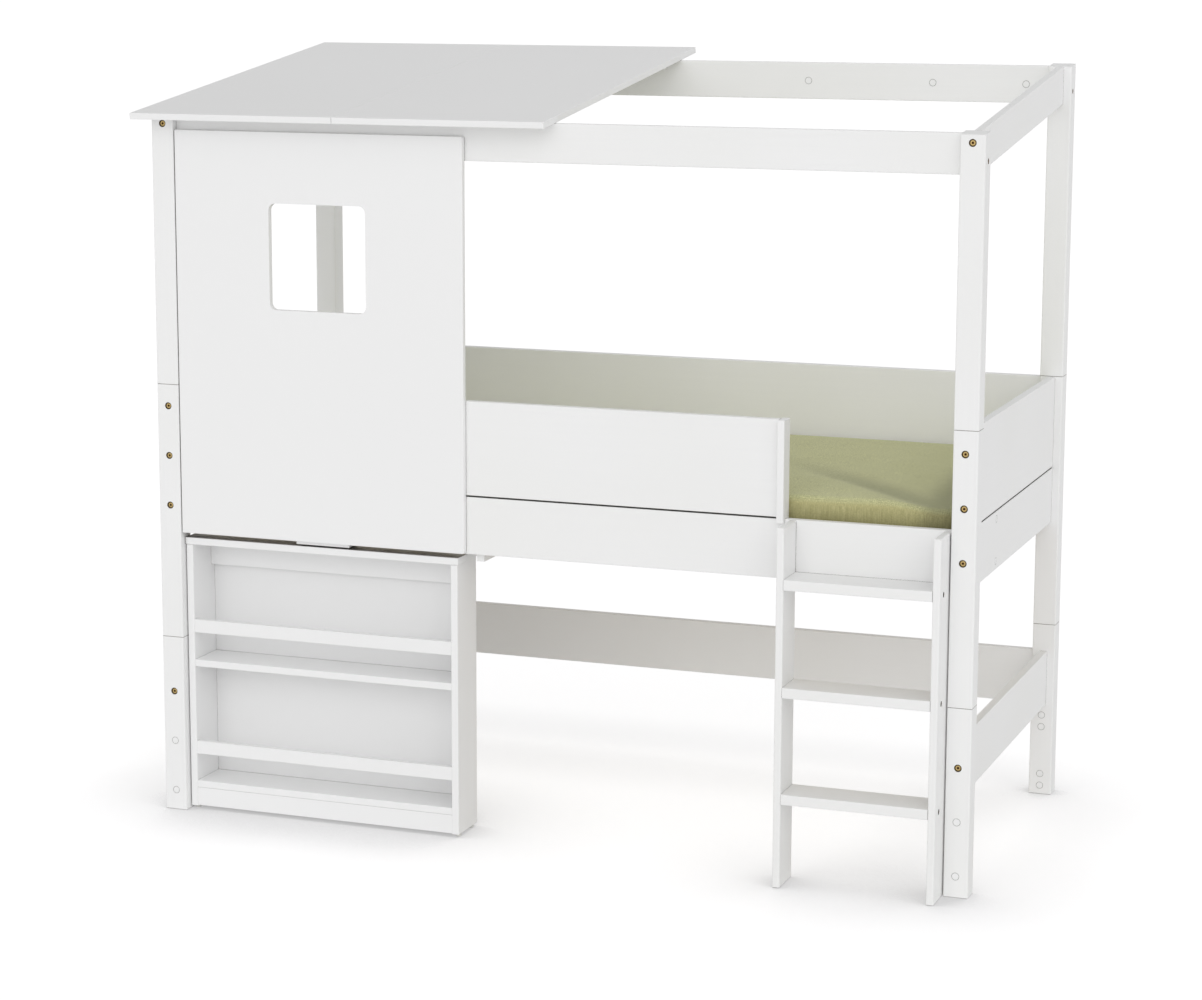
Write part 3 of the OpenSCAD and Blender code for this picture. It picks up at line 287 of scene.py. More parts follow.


# Inside the bores for the bolts the wood is bare and painted darker as the bore's shade, and the lengths
# of a post meet in fine dark lines.
PITCH = math.radians(7)
SKIN = 0.001
post_low, post_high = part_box("post_lower_front_right")
post_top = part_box("post_upper_front_right")[1]
other_low, other_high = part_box("post_lower_rear_left")
posts_middle = ((other_low.x + post_high.x) / 2, (post_low.y + other_high.y) / 2, 0)
near = (post_low.x - posts_middle[0] + SKIN, posts_middle[1] - post_high.y + SKIN)
far = (post_high.x - posts_middle[0] - SKIN, posts_middle[1] - post_low.y - SKIN)
top_level = post_top.z - math.tan(PITCH) * post_top.y - BARE_UNDER_TOP
POST_JOINTS = (post_high.z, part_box("post_middle_front_right")[1].z)
pine_posts = lacquered_pine("satin_white_lacquered_pine_posts", 2, seams=POST_JOINTS,
                            bored=(posts_middle, near, far, top_level, math.tan(PITCH)))
finish_nodes(pine_posts, *[f"post_{level}_{side}_{hand}" for level in ("lower", "middle", "upper")
                           for side in ("front", "rear") for hand in ("left", "right")])


# --- Boards along the bed ---------------------------------------------------------------------------
# Long boards of lacquered pine: low board, rails, guards and the two level canopy rails. They are set
# back between the posts and bolted through them, the guards over a narrow gap above the rails.

pine_lengthwise = lacquered_pine("satin_white_lacquered_pine_lengthwise", 0)
finish_nodes(pine_lengthwise, "low_board_rear", "side_rail_rear", "guard_rear", "canopy_rail_front",
             "canopy_rail_rear")
# The two faces in the gap under the front guard get a dark band of painted shade, as little light reaches
# them.
GAP_LIP = 0.0006
guard_low, guard_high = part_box("guard_front")
rail_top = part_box("side_rail_front")[1].z
gap_middle, gap_half = (guard_low.z + rail_top) / 2, (guard_low.z - rail_top) / 2 + GAP_LIP
pine_gap = lacquered_pine("satin_white_lacquered_pine_lengthwise_gap", 0, seams=(gap_middle,),
                          seam_half=gap_half, seam_right=guard_high.x)
finish_nodes(pine_gap, "side_rail_front", "guard_front")


# --- Boards across the bed --------------------------------------------------------------------------
# The same boards at the head and the foot. The two that carry the roof's slope are cut to its pitch,
# so their grain rises with them.

END_GAP_LESS = 0.0004
# The end boards get the same band of painted shade in the gap under their guards, a little narrower.
pine_crosswise = lacquered_pine("satin_white_lacquered_pine_crosswise", 1, seams=(gap_middle,),
                                seam_half=gap_half - END_GAP_LESS)
finish_nodes(pine_crosswise, "low_board_left", "low_board_right", "end_rail_left", "end_rail_right",
             "guard_left", "guard_right")
pine_sloping = lacquered_pine("satin_white_lacquered_pine_sloping", 1, PITCH)
finish_nodes(pine_sloping, "canopy_rail_left", "canopy_rail_right", "roof_battens")


# --- Guard stile ------------------------------------------------------------------------------------
# An upright that closes the end of the front guard beside the way in. It is notched over the rail.

pine_upright = lacquered_pine("satin_white_lacquered_pine_upright", 2)
finish_nodes(pine_upright, "guard_stile")


# --- Roof and window wall ---------------------------------------------------------------------------
# Two wide roof boards and the wall are cut from smooth board. Their lacquer is put on by roller,
# which leaves an even, very fine stipple and no grain.

# A narrow slot's shade: how far it looks round, and the open shares between which it fades.
SLOT_SHADE = (0.05, 0.22, 0.50)


def lacquered_board(name, light, dark, slot=None):
    """Satin white lacquer rolled on to smooth board, with painted shade in its joints. Slot is the tone of
    painted shade deep in a narrow slot.
    """
    material, tree = new_material(name)
    place = add(tree, "ShaderNodeTexCoord").outputs["Object"]
    stipple = add(tree, "ShaderNodeTexNoise", {"Vector": place, "Scale": cells(2.38), "Detail": 2.0})
    laps = add(tree, "ShaderNodeTexNoise", {"Vector": place, "Scale": cells(588), "Detail": 1.5})
    tone = add(tree, "ShaderNodeMix", {"Factor": laps, "A": linear(light), "B": linear(dark)},
               data_type="RGBA")
    tone = painted_crevice_shade(tree, tone, *JOINT_SHADE)
    if slot:
        tone = painted_crevice_shade(tree, tone, *SLOT_SHADE, slot)
    gloss = add(tree, "ShaderNodeMapRange", {"Value": stipple, "To Min": 0.40, "To Max": 0.50})
    skin = add(tree, "ShaderNodeBump", {"Height": stipple, "Distance": 0.00006, "Strength": 0.7})
    lacquer = add(tree, "ShaderNodeBsdfPrincipled", {
        "Base Color": tone, "Roughness": gloss, "IOR": 1.5, "Specular IOR Level": 0.4, "Normal": skin})
    add(tree, "ShaderNodeOutputMaterial", {"Surface": lacquer})
    return material


panel_finish = lacquered_board("satin_white_lacquered_board", "#f2f2f2", "#f0f0f0")
finish_nodes(panel_finish, "roof_board_left", "roof_board_right", "wall_panel")


# --- Slats and their bearers ------------------------------------------------------------------------
# Fifteen slats of planed raw pine lie on two lacquered ledgers that are screwed inside the rails. Two
# woven bands, stapled on top, keep them apart. One lacquered bearer crosses the bed beneath them.


def raw_pine(name, along, boards=None):
    """Planed pine without a finish: pale sapwood, brown late wood in the rings, a few small knots. Boards
    gives where a row of boards starts along X and their pitch, so that each is cut from other wood."""
    material, tree = new_material(name)
    place = add(tree, "ShaderNodeTexCoord").outputs["Object"]
    own_tone = 0.5
    if boards:
        x = add(tree, "ShaderNodeSeparateXYZ", {"Vector": place}).outputs["X"]
        from_first = add(tree, "ShaderNodeMath", {0: x, 1: boards[0]}, operation="SUBTRACT")
        count = add(tree, "ShaderNodeMath", {0: from_first, 1: boards[1]}, operation="DIVIDE")
        number = add(tree, "ShaderNodeMath", {0: count}, operation="FLOOR")
        own = add(tree, "ShaderNodeTexWhiteNoise", {"W": number}, noise_dimensions="1D").outputs
        own_tone = own["Value"]
        moved = add(tree, "ShaderNodeVectorMath", {0: own["Color"], "Scale": 3.0}, operation="SCALE")
        place = add(tree, "ShaderNodeVectorMath", {0: place, 1: moved}, operation="ADD")
    # The rings come out three to four times as wide as this, so that they show.
    ring_width, lengthwise = 0.004, 0.03
    stretch = [1 / ring_width] * 3
    stretch[along] *= lengthwise
    drawn = add(tree, "ShaderNodeMapping", {"Vector": place, "Scale": tuple(stretch)})
    bend = add(tree, "ShaderNodeTexNoise", {"Vector": drawn, "Scale": 0.10, "Detail": 2.0}).outputs["Color"]
    pulled = add(tree, "ShaderNodeVectorMath", {0: bend, "Scale": 5.0}, operation="SCALE")
    moved = add(tree, "ShaderNodeVectorMath", {0: drawn, 1: pulled}, operation="ADD")
    rings = add(tree, "ShaderNodeTexWave", {"Vector": moved, "Scale": 0.16, "Distortion": 1.2,
                                            "Detail": 2.0}, bands_direction="DIAGONAL").outputs["Fac"]
    fibre = add(tree, "ShaderNodeTexNoise", {"Vector": drawn, "Scale": 4.0, "Detail": 3.0})
    knot_stretch = [cells(111)] * 3
    knot_stretch[along] = cells(200)
    spots = add(tree, "ShaderNodeMapping", {"Vector": place, "Scale": tuple(knot_stretch)})
    knots = add(tree, "ShaderNodeTexVoronoi", {"Vector": spots, "Scale": 1.0}).outputs["Distance"]
    knot = add(tree, "ShaderNodeMapRange", {"Value": knots, "From Min": 0.04, "From Max": 0.10,
                                            "To Min": 0.8, "To Max": 0.0})
    wood = add(tree, "ShaderNodeMix", {"Factor": rings, "A": linear("#f3e8d2"), "B": linear("#ebdabc")},
               data_type="RGBA")
    streaks = add(tree, "ShaderNodeMapRange", {"Value": fibre, "To Min": 0.0, "To Max": 0.35})
    wood = add(tree, "ShaderNodeMix", {"Factor": streaks, "A": wood, "B": linear("#dabf96")},
               data_type="RGBA")
    wood = add(tree, "ShaderNodeMix", {"Factor": knot, "A": wood, "B": linear("#9a7650")}, data_type="RGBA")
    board = add(tree, "ShaderNodeMapRange", {"Value": own_tone, "To Min": 0.92, "To Max": 1.04})
    wood = add(tree, "ShaderNodeVectorMath", {0: wood, "Scale": board}, operation="SCALE")
    rough = add(tree, "ShaderNodeMapRange", {"Value": fibre, "To Min": 0.60, "To Max": 0.78})
    nap = add(tree, "ShaderNodeBump", {"Height": fibre, "Distance": 0.00015, "Strength": 0.8})
    timber = add(tree, "ShaderNodeBsdfPrincipled", {
        "Base Color": wood, "Roughness": rough, "IOR": 1.5, "Specular IOR Level": 0.3, "Normal": nap})
    add(tree, "ShaderNodeOutputMaterial", {"Surface": timber})
    return material


SLATS = 15
SLAT_W = 0.070
SLAT_SIDE = 0.005
slats_low, slats_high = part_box("slats")
slat_pitch = (slats_high.x - slats_low.x - SLAT_W) / (SLATS - 1)
finish_nodes(raw_pine("planed_raw_pine_crosswise", 1, (slats_low.x - SLAT_SIDE, slat_pitch)), "slats")
finish_nodes(pine_lengthwise, "slat_bearers")


def crossed_stripes(tree, place, spacing, **settings):
    """Soft stripes along and across the bed, these millimetres apart and multiplied, as where threads or rows
    of stitches cross. At a scale of 1 the stripes of a wave are pi / 10 apart."""
    settings["Scale"] = math.pi / 10 * 1000 / spacing
    along, across = [add(tree, "ShaderNodeTexWave", {"Vector": place, **settings}, bands_direction=side)
                     for side in ("Y", "X")]
    return add(tree, "ShaderNodeMath", {0: along.outputs["Fac"], 1: across.outputs["Fac"]},
               operation="MULTIPLY")


material, tree = new_material("woven_cotton_webbing")
place = add(tree, "ShaderNodeTexCoord").outputs["Object"]
# The real band has a thread every 1.6 mm or so; it is drawn twice as coarse, so that it shows.
weave = crossed_stripes(tree, place, 3.14)
thread = add(tree, "ShaderNodeMix", {"Factor": weave, "A": linear("#cbc5b5"), "B": linear("#efebe0")},
             data_type="RGBA")
relief = add(tree, "ShaderNodeBump", {"Height": weave, "Distance": 0.0002, "Strength": 0.9})
band = add(tree, "ShaderNodeBsdfPrincipled", {
    "Base Color": thread, "Roughness": 0.85, "Specular IOR Level": 0.2, "Normal": relief})
add(tree, "ShaderNodeOutputMaterial", {"Surface": band})
finish_nodes(material, "slat_straps")


# --- Mattress ---------------------------------------------------------------------------------------
# A foam core 1.99 m long in a knitted off-white cover. The core swells and stands a little proud.
# Use has left one fold in it: a crest runs to the front corner at the foot, and the foam falls off behind it.

QUAD = 0.020
CORNER_R = 0.047
EDGE_R = 0.021
FOOT_R = 0.011
SWELL = 0.005
SWELL_FRAMES = 14
PRESSURE = 4
CROWN = 0.010
# The fold: its crest's ends, its depth and half width, the length over which it grows, how far it wanders
# and fades, and the low roll before it. Shallow waves lie all over, and all fade out under the top.
CREST_START = Vector((0.30, 0.106))
CREST_END = Vector((0.93, -0.449))
FOLD_DEPTH = 0.011
FOLD_HALF = 0.045
FOLD_RUN = 0.62
FOLD_WANDER = 0.007
FOLD_FADES = 0.20
ROLL = 0.22
ROLL_HALF = 0.05
WAVES = 0.0022
SOFT_DEPTH = 0.075
pad_low, pad_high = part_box("mattress")


def ruled(low, high, low_r, high_r):
    """Places from low to high, close together over the two rounded ends and even between them."""
    count = max(1, round((high - low - low_r - high_r) / QUAD))
    between = [low + low_r + (high - low - low_r - high_r) * i / count for i in range(count + 1)]
    start = [low + low_r * i / 3 for i in range(3)]
    return start + between + [high - high_r * i / 3 for i in reversed(range(3))]


def soft_block(name, low, high, corner, top, foot):
    """A closed block of even quads with round upright corners, a rounder top edge and a tighter foot edge."""
    rows = [ruled(low.x, high.x, top, top), ruled(low.y, high.y, top, top), ruled(low.z, high.z, foot, top)]
    last = [len(row) - 1 for row in rows]
    shape = bmesh.new()
    known = {}

    def corner_at(i, j, k):
        if (i, j, k) in known:
            return known[i, j, k]
        at = Vector((rows[0][i], rows[1][j]))
        inner = Vector((min(max(at.x, low.x + corner), high.x - corner),
                        min(max(at.y, low.y + corner), high.y - corner)))
        out = at - inner
        if out.x and out.y:
            out *= max(abs(out.x), abs(out.y)) / out.length
            at = inner + out
            room, way = corner - out.length, out.normalized()
        else:
            sides = [(at.x - low.x, Vector((-1, 0))), (high.x - at.x, Vector((1, 0))),
                     (at.y - low.y, Vector((0, -1))), (high.y - at.y, Vector((0, 1)))]
            room, way = min(sides, key=lambda side: side[0])
        z = rows[2][k]
        for level, sign, radius in ((high.z, 1, top), (low.z, -1, foot)):
            down = abs(level - z)
            if down < radius and room < radius:
                bend = math.pi / 4 * (1 + (room - down) / radius)
                at += way * (room - radius * (1 - math.cos(bend)))
                z = level - sign * radius * (1 - math.sin(bend))
        known[i, j, k] = shape.verts.new((at.x, at.y, z))
        return known[i, j, k]

    for axis in range(3):
        u, v = [other for other in range(3) if other != axis]
        for end in (0, last[axis]):
            for m in range(last[u]):
                for n in range(last[v]):
                    ring = []
                    for du, dv in ((0, 0), (1, 0), (1, 1), (0, 1)):
                        place = [0, 0, 0]
                        place[axis], place[u], place[v] = end, m + du, n + dv
                        ring.append(corner_at(*place))
                    shape.faces.new(ring)
    bmesh.ops.recalc_face_normals(shape, faces=shape.faces)
    return put(name, mesh_of(shape, name))


def bake_modifiers(piece):
    """Replaces a piece's mesh by what its modifiers make of it."""
    graph = bpy.context.evaluated_depsgraph_get()
    graph.update()
    mesh = bpy.data.meshes.new_from_object(piece.evaluated_get(graph))
    piece.modifiers.clear()
    piece.data = mesh
    return piece


def swell(piece, limit):
    """Blows the piece up by cloth pressure, each point by no more than the limit."""
    before = [v.co.copy() for v in piece.data.vertices]
    cloth = piece.modifiers.new("swelling", "CLOTH")
    cloth.settings.use_pressure = True
    cloth.settings.uniform_pressure_force = PRESSURE
    cloth.settings.effector_weights.gravity = 0
    cloth.settings.quality = 5
    cloth.collision_settings.use_collision = False
    for step in range(1, SWELL_FRAMES + 1):
        scene.frame_set(step)
    bake_modifiers(piece)
    for vertex, start in zip(piece.data.vertices, before):
        move = vertex.co - start
        vertex.co = start + move * min(1.0, limit / max(move.length, 1e-9))
    scene.frame_set(1)


def eased(share):
    """A share from 0 to 1, eased at both ends."""
    share = max(0.0, min(1.0, share))
    return share * share * (3 - 2 * share)


def beside_crest(x, y):
    """How far the fold has grown at a place, from 0 to 1, and how far behind its middle line that is."""
    along = (CREST_END - CREST_START).normalized()
    across = Vector((-along.y, along.x))
    from_start = Vector((x, y)) - CREST_START
    run = from_start.dot(along)
    wander = FOLD_WANDER * noise.noise(Vector((run * 5.0, 0.0, 2.0)))
    return eased(run / FOLD_RUN), from_start.dot(across) + wander


def hollow(x, y):
    """How far use has pressed the mattress down at a place."""
    grown, side = beside_crest(x, y)
    roll = ROLL * math.exp(-((side + FOLD_HALF) / ROLL_HALF) ** 2)
    behind = max(0.0, side - FOLD_HALF) / FOLD_FADES
    fold = eased((side + FOLD_HALF) / (2 * FOLD_HALF)) * math.exp(-behind ** 2)
    waves = noise.noise(Vector((x * 2.6, y * 3.4, 4.0))) + 0.4 * noise.noise(Vector((x * 6.0, y * 5.0, 9.0)))
    return WAVES + FOLD_DEPTH * grown * (fold - roll) + WAVES * waves


start_low = pad_low + Vector((0, 0, SWELL))
start_high = pad_high + Vector((0, 0, CROWN - SWELL))
mattress = soft_block("mattress_pad", start_low, start_high, CORNER_R, EDGE_R, FOOT_R)
swell(mattress, SWELL)
mattress.modifiers.new("finer_faces", "SUBSURF").levels = 1
mattress.modifiers["finer_faces"].render_levels = 1
bake_modifiers(mattress)
for vertex in mattress.data.vertices:
    share = eased((vertex.co.z - pad_high.z - CROWN + SOFT_DEPTH) / SOFT_DEPTH)
    vertex.co.z -= hollow(vertex.co.x, vertex.co.y) * share
mattress.data.shade_smooth()

material, tree = new_material("knitted_offwhite_mattress_cover")
place = add(tree, "ShaderNodeTexCoord").outputs["Object"]
# Quilting in 60 mm diamonds under a fine knit.
turned = add(tree, "ShaderNodeMapping", {"Vector": place, "Rotation": (0, 0, math.pi / 4)})
quilt = crossed_stripes(tree, turned, 60.4)
knit = add(tree, "ShaderNodeTexNoise", {"Vector": place, "Scale": cells(1.67)})
tone = add(tree, "ShaderNodeMix", {"Factor": knit, "A": linear("#dcd8ca"), "B": linear("#efece2")},
           data_type="RGBA")
puff = add(tree, "ShaderNodeBump", {"Height": quilt, "Distance": 0.002, "Strength": 0.6})
loops = add(tree, "ShaderNodeBump", {"Height": knit, "Distance": 0.0002, "Strength": 0.8, "Normal": puff})
cover = add(tree, "ShaderNodeBsdfPrincipled", {
    "Base Color": tone, "Roughness": 0.9, "Specular IOR Level": 0.15,
    "Sheen Weight": 0.2, "Sheen Roughness": 0.5, "Normal": loops})
add(tree, "ShaderNodeOutputMaterial", {"Surface": cover})
mattress.data.materials.append(material)
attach(mattress, "mattress")
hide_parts("mattress")


# --- Fitted sheet -----------------------------------------------------------------------------------
# A sage green jersey sheet, cut with its four corners out and sewn there, is pulled over the mattress
# and gathered under it on elastic. It follows every hollow and puckers a little beside the corners.

SHEET_LIFT = 0.0006
SHEET_THICK = 0.0008
OVER_SLATS = 0.0001
HEM_IN = 0.110
HEM_RISE = 0.012
# The gathers' depth on a plain side and how much deeper beside a corner, and how far beside it they reach.
GATHERS = (0.0004, 0.0020)
GATHERED = 0.14
CORNER_IN = 0.05
GATHER_BIAS = 0.45
# They start this far under the top and grow over this height.
GATHER_TOP, GATHER_GROWTH = 0.015, 0.09
sheet_low, sheet_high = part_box("fitted_sheet")


def puckers(x, y, z):
    """Soft upright gathers that grow down the sides, most of all beside the corners."""
    down = eased((sheet_high.z - GATHER_TOP - z) / GATHER_GROWTH)
    beside = math.exp(-((max(0.0, sheet_high.x - CORNER_IN - abs(x)) ** 2
                         + max(0.0, sheet_high.y - CORNER_IN - abs(y)) ** 2) / GATHERED ** 2))
    broad = noise.noise(Vector((x * 15, y * 15, z * 2.0)))
    ripple = broad + 0.5 * noise.noise(Vector((x * 33, y * 33, z * 4.0)))
    return (GATHERS[0] + GATHERS[1] * beside) * down * max(0.0, GATHER_BIAS + ripple)


shape = bmesh.new()
shape.from_mesh(mattress.data)
middle = (sheet_low + sheet_high) / 2
reach = (sheet_high - sheet_low) / 2
under = [v for v in shape.verts
         if v.co.z < pad_low.z + HEM_RISE
         and abs(v.co.x - middle.x) < reach.x - HEM_IN and abs(v.co.y - middle.y) < reach.y - HEM_IN]
bmesh.ops.delete(shape, geom=under, context="VERTS")
shape.normal_update()
for vertex in shape.verts:
    vertex.co += vertex.normal * (SHEET_LIFT + puckers(*vertex.co))
    vertex.co.z = max(vertex.co.z, sheet_low.z + SHEET_THICK + OVER_SLATS)
fitted = put("fitted_sheet_jersey", mesh_of(shape, "fitted_sheet_jersey"))
# Painted shade darkens the jersey behind the fold and at the foot end, and painted light lightens it before
# the fold; each point keeps its share of both.
FOOT_SHADE = 0.855
FOOT_BEFORE = 0.05
FOOT_FADES = 0.09
FOOT_SHADE_STRENGTH = 1.15
BEFORE_FADES = 0.10
PAINTED_LIGHT_BEFORE = 0.45
fold_shade_share = fitted.data.attributes.new("painted_fold_shade", "FLOAT", "POINT")
for vertex in fitted.data.vertices:
    grown, side = beside_crest(vertex.co.x, vertex.co.y)
    turned = eased((side + FOLD_HALF) / (2 * FOLD_HALF))
    fade_over = 2 * FOLD_HALF if side > 0 else BEFORE_FADES
    fades = eased((abs(side) - FOLD_HALF) / fade_over)
    fold = grown * (1 - fades) * (turned - PAINTED_LIGHT_BEFORE * (1 - turned))
    foot = eased((vertex.co.x - FOOT_SHADE - FOOT_BEFORE * (1 - turned)) / FOOT_FADES)
    fold_shade_share.data[vertex.index].value = max(fold, FOOT_SHADE_STRENGTH * foot)
thicken = fitted.modifiers.new("jersey_thickness", "SOLIDIFY")
thicken.thickness = SHEET_THICK
thicken.offset = 1.0
bake_modifiers(fitted)
fitted.data.shade_smooth()

material, tree = new_material("matt_sage_green_jersey")
coordinates = add(tree, "ShaderNodeTexCoord")
place = coordinates.outputs["Object"]
# Knitted wales every 1.3 mm run along the bed; they are drawn every 5.2 mm, so that they show.
loops = crossed_stripes(tree, place, 5.24, Distortion=0.6, Detail=1.0)
fuzz = add(tree, "ShaderNodeTexNoise", {"Vector": place, "Scale": cells(3.03), "Detail": 2.0})
slub = add(tree, "ShaderNodeTexNoise", {"Vector": place, "Scale": cells(71.4), "Detail": 3.0})
yarn = add(tree, "ShaderNodeMix", {"Factor": loops, "A": linear("#c1c191"), "B": linear("#d7d7a7")},
           data_type="RGBA")
blotch = add(tree, "ShaderNodeMapRange", {"Value": slub, "From Min": 0.35, "From Max": 0.65, "To Max": 0.35})
yarn = add(tree, "ShaderNodeMix", {"Factor": blotch, "A": yarn, "B": linear("#bebe8a")}, data_type="RGBA")
speck = add(tree, "ShaderNodeMapRange", {"Value": fuzz, "From Min": 0.3, "From Max": 0.7, "To Min": 0.76,
                                         "To Max": 1.24})
yarn = add(tree, "ShaderNodeVectorMath", {0: yarn, "Scale": speck}, operation="SCALE")
# Where the jersey is pulled down the sides it opens up, goes browner and shows its wales as streaks.
upright = add(tree, "ShaderNodeSeparateXYZ", {"Vector": coordinates.outputs["Normal"]}).outputs["Z"]
pulled = add(tree, "ShaderNodeMapRange", {"Value": upright, "From Min": 0.85, "From Max": 0.35,
                                          "To Max": 1.0})
drawn = add(tree, "ShaderNodeMapping", {"Vector": place, "Scale": (cells(1.786), cells(1.786), cells(33.3))})
streaks = add(tree, "ShaderNodeTexNoise", {"Vector": drawn, "Scale": 1.0, "Detail": 2.0})
open_yarn = add(tree, "ShaderNodeMix", {"Factor": streaks, "A": linear("#9a9462"), "B": linear("#d0cb98")},
                data_type="RGBA")
calm = add(tree, "ShaderNodeMapRange", {"Value": speck, "From Min": 0.76, "From Max": 1.24, "To Min": 0.90,
                                        "To Max": 1.10})
dotted = add(tree, "ShaderNodeVectorMath", {0: open_yarn, "Scale": calm}, operation="SCALE")
yarn = add(tree, "ShaderNodeMix", {"Factor": pulled, "A": yarn, "B": dotted}, data_type="RGBA")
# The painted fold shade darkens the yarn, and where it is below 0, painted light makes it lighter.
painted_fold_shade = add(tree, "ShaderNodeAttribute", attribute_name="painted_fold_shade").outputs["Fac"]
darker = add(tree, "ShaderNodeMapRange",
             {"Value": painted_fold_shade, "From Min": -PAINTED_LIGHT_BEFORE, "From Max": 1.4, "To Min": 1.10, "To Max": 0.555})
yarn = add(tree, "ShaderNodeVectorMath", {0: yarn, "Scale": darker}, operation="SCALE")
# Low on the sides painted shade makes it darker towards the bottom, where the rail stands a finger's
# breadth away.
DUSK = (0.050, 0.012)
level = add(tree, "ShaderNodeSeparateXYZ", {"Vector": place}).outputs["Z"]
dusk = add(tree, "ShaderNodeMapRange", {"Value": level, "From Min": sheet_high.z - DUSK[0], "To Min": 0.80,
                                        "From Max": sheet_high.z - DUSK[1], "To Max": 1.0})
yarn = add(tree, "ShaderNodeVectorMath", {0: yarn, "Scale": dusk}, operation="SCALE")
# A seam runs down each corner, where the cut edges are sewn together.
CORNER_SEAM = (0.0012, 0.0028)
from_middle = add(tree, "ShaderNodeVectorMath", {0: place, 1: middle}, operation="SUBTRACT")
from_middle = add(tree, "ShaderNodeVectorMath", {0: from_middle}, operation="ABSOLUTE")
inward = add(tree, "ShaderNodeVectorMath", {0: reach, 1: from_middle}, operation="SUBTRACT")
inward = add(tree, "ShaderNodeSeparateXYZ", {"Vector": inward}).outputs
beside_seam = add(tree, "ShaderNodeMath", {0: inward["X"], 1: inward["Y"]}, operation="SUBTRACT")
beside_seam = add(tree, "ShaderNodeMath", {0: beside_seam}, operation="ABSOLUTE")
seam = add(tree, "ShaderNodeMapRange", {"Value": beside_seam, "From Min": CORNER_SEAM[0],
                                        "From Max": CORNER_SEAM[1], "To Min": 1.0, "To Max": 0.0})
seam = add(tree, "ShaderNodeMath", {0: seam, 1: pulled}, operation="MULTIPLY")
yarn = add(tree, "ShaderNodeMix", {"Factor": seam, "A": yarn, "B": linear("#6f6a40")}, data_type="RGBA")
puckered = add(tree, "ShaderNodeBump", {"Height": seam, "Distance": -0.001, "Strength": 0.8})
knit = add(tree, "ShaderNodeBump", {"Height": loops, "Distance": 0.0003, "Strength": 0.5, "Normal": puckered})
nap = add(tree, "ShaderNodeBump", {"Height": fuzz, "Distance": 0.0004, "Strength": 0.5, "Normal": knit})
jersey = add(tree, "ShaderNodeBsdfPrincipled", {
    "Base Color": yarn, "Roughness": 0.9, "Specular IOR Level": 0.15,
    "Sheen Weight": 0.15, "Sheen Roughness": 0.6, "Normal": nap})
add(tree, "ShaderNodeOutputMaterial", {"Surface": jersey})
fitted.data.materials.append(material)
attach(fitted, "mattress")
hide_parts("fitted_sheet")


# --- Ladder -----------------------------------------------------------------------------------------
# Two upright stiles stand in front of the rail and are screwed to it. Three deep treads are bolted
# between them.

# Inside the ladder's bores the bare wood is painted nearly black, as painted shade.
for hand in ("left", "right"):
    stile_low, stile_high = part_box(f"ladder_stile_{hand}")
    near = (stile_low.x + SKIN, -stile_high.y + SKIN)
    far = (stile_high.x - SKIN, -stile_low.y - SKIN)
    pine_stile = lacquered_pine(f"satin_white_lacquered_pine_ladder_{hand}", 2,
                                bored=((0, 0, 0), near, far, stile_high.z - BARE_UNDER_TOP, 0.0),
                                bare_shade_tone="#1f190b")
    finish_nodes(pine_stile, f"ladder_stile_{hand}")
finish_nodes(pine_lengthwise, "ladder_tread_low", "ladder_tread_middle", "ladder_tread_top")


# --- Bookcase ---------------------------------------------------------------------------------------
# A shallow case of lacquered board stands free under the window wall: top, sides, two shelves with
# lips in front, a plinth and a stretcher. A thin white hardboard back slides in grooves.

finish_nodes(panel_finish, "bookcase_side_left", "bookcase_side_right", "bookcase_shelf_middle",
             "bookcase_shelf_low", "bookcase_plinth", "bookcase_lips", "bookcase_stretcher", "rail_plate")
# Under the rail the top lies in a slot of a finger's height, where painted shade makes it brown and
# nearly black.
finish_nodes(lacquered_board("satin_white_lacquered_board_top", "#f2f2f2", "#f0f0f0", "#2a180d"),
             "bookcase_top")
finish_nodes(lacquered_board("matt_white_hardboard", "#efefef", "#ebebeb"), "bookcase_back")


# --- Connector bolts --------------------------------------------------------------------------------
# Brass-coloured steel bolts with a hex socket sit in counterbores. Each has a flat turned head on a thin
# washer face; painted shade darkens the head's side and the washer, and the socket nearly to black. The
# shank runs on through the board into a cross dowel.

HEAD_R, HEAD_EDGE, HEAD_H = 0.0062, 0.0006, 0.0026
SOCKET_R, SOCKET_H = 0.0029, 0.0021
WASHER_R, WASHER_T = 0.0086, 0.0008
BOLT_SHANK = 0.003
# Of each fastener's two ends, the wider one over this length is the head.
END_PART = 0.004


def loose_solids(name):
    """The corners of each separate solid in a CAD node."""
    shape = bmesh.new()
    shape.from_mesh(nodes[name].data)
    bmesh.ops.remove_doubles(shape, verts=shape.verts, dist=1e-6)
    taken, solids = set(), []
    for first in shape.verts:
        if first in taken:
            continue
        taken.add(first)
        edge_on, solid = [first], []
        while edge_on:
            vertex = edge_on.pop()
            solid.append(vertex.co.copy())
            for edge in vertex.link_edges:
                other = edge.other_vert(vertex)
                if other not in taken:
                    taken.add(other)
                    edge_on.append(other)
        solids.append(solid)
    shape.free()
    return solids


def driven_places(name):
    """Points at the heads of a CAD node's fasteners, with their way in, length and widest radius."""
    heads, ways, lengths, radii = [], [], [], []
    for solid in loose_solids(name):
        points = numpy.array(solid)
        middle = points.mean(axis=0)
        axis = numpy.linalg.svd(points - middle, full_matrices=False)[2][0]
        along = (points - middle) @ axis
        away = numpy.linalg.norm(points - middle - numpy.outer(along, axis), axis=1)
        if away[along > along.max() - END_PART].max() > away[along < along.min() + END_PART].max():
            axis, along = -axis, -along
        heads.append(tuple(middle + axis * along.min()))
        ways.append(axis)
        lengths.append(along.max() - along.min())
        radii.append(away.max())
    mesh = bpy.data.meshes.new(f"{name}_places")
    mesh.from_pydata(heads, [], [])
    mesh.attributes.new("way_in", "FLOAT_VECTOR", "POINT").data.foreach_set("vector", numpy.ravel(ways))
    for label, values in (("reach", lengths), ("widest", radii)):
        mesh.attributes.new(label, "FLOAT", "POINT").data.foreach_set("value", values)
    return mesh


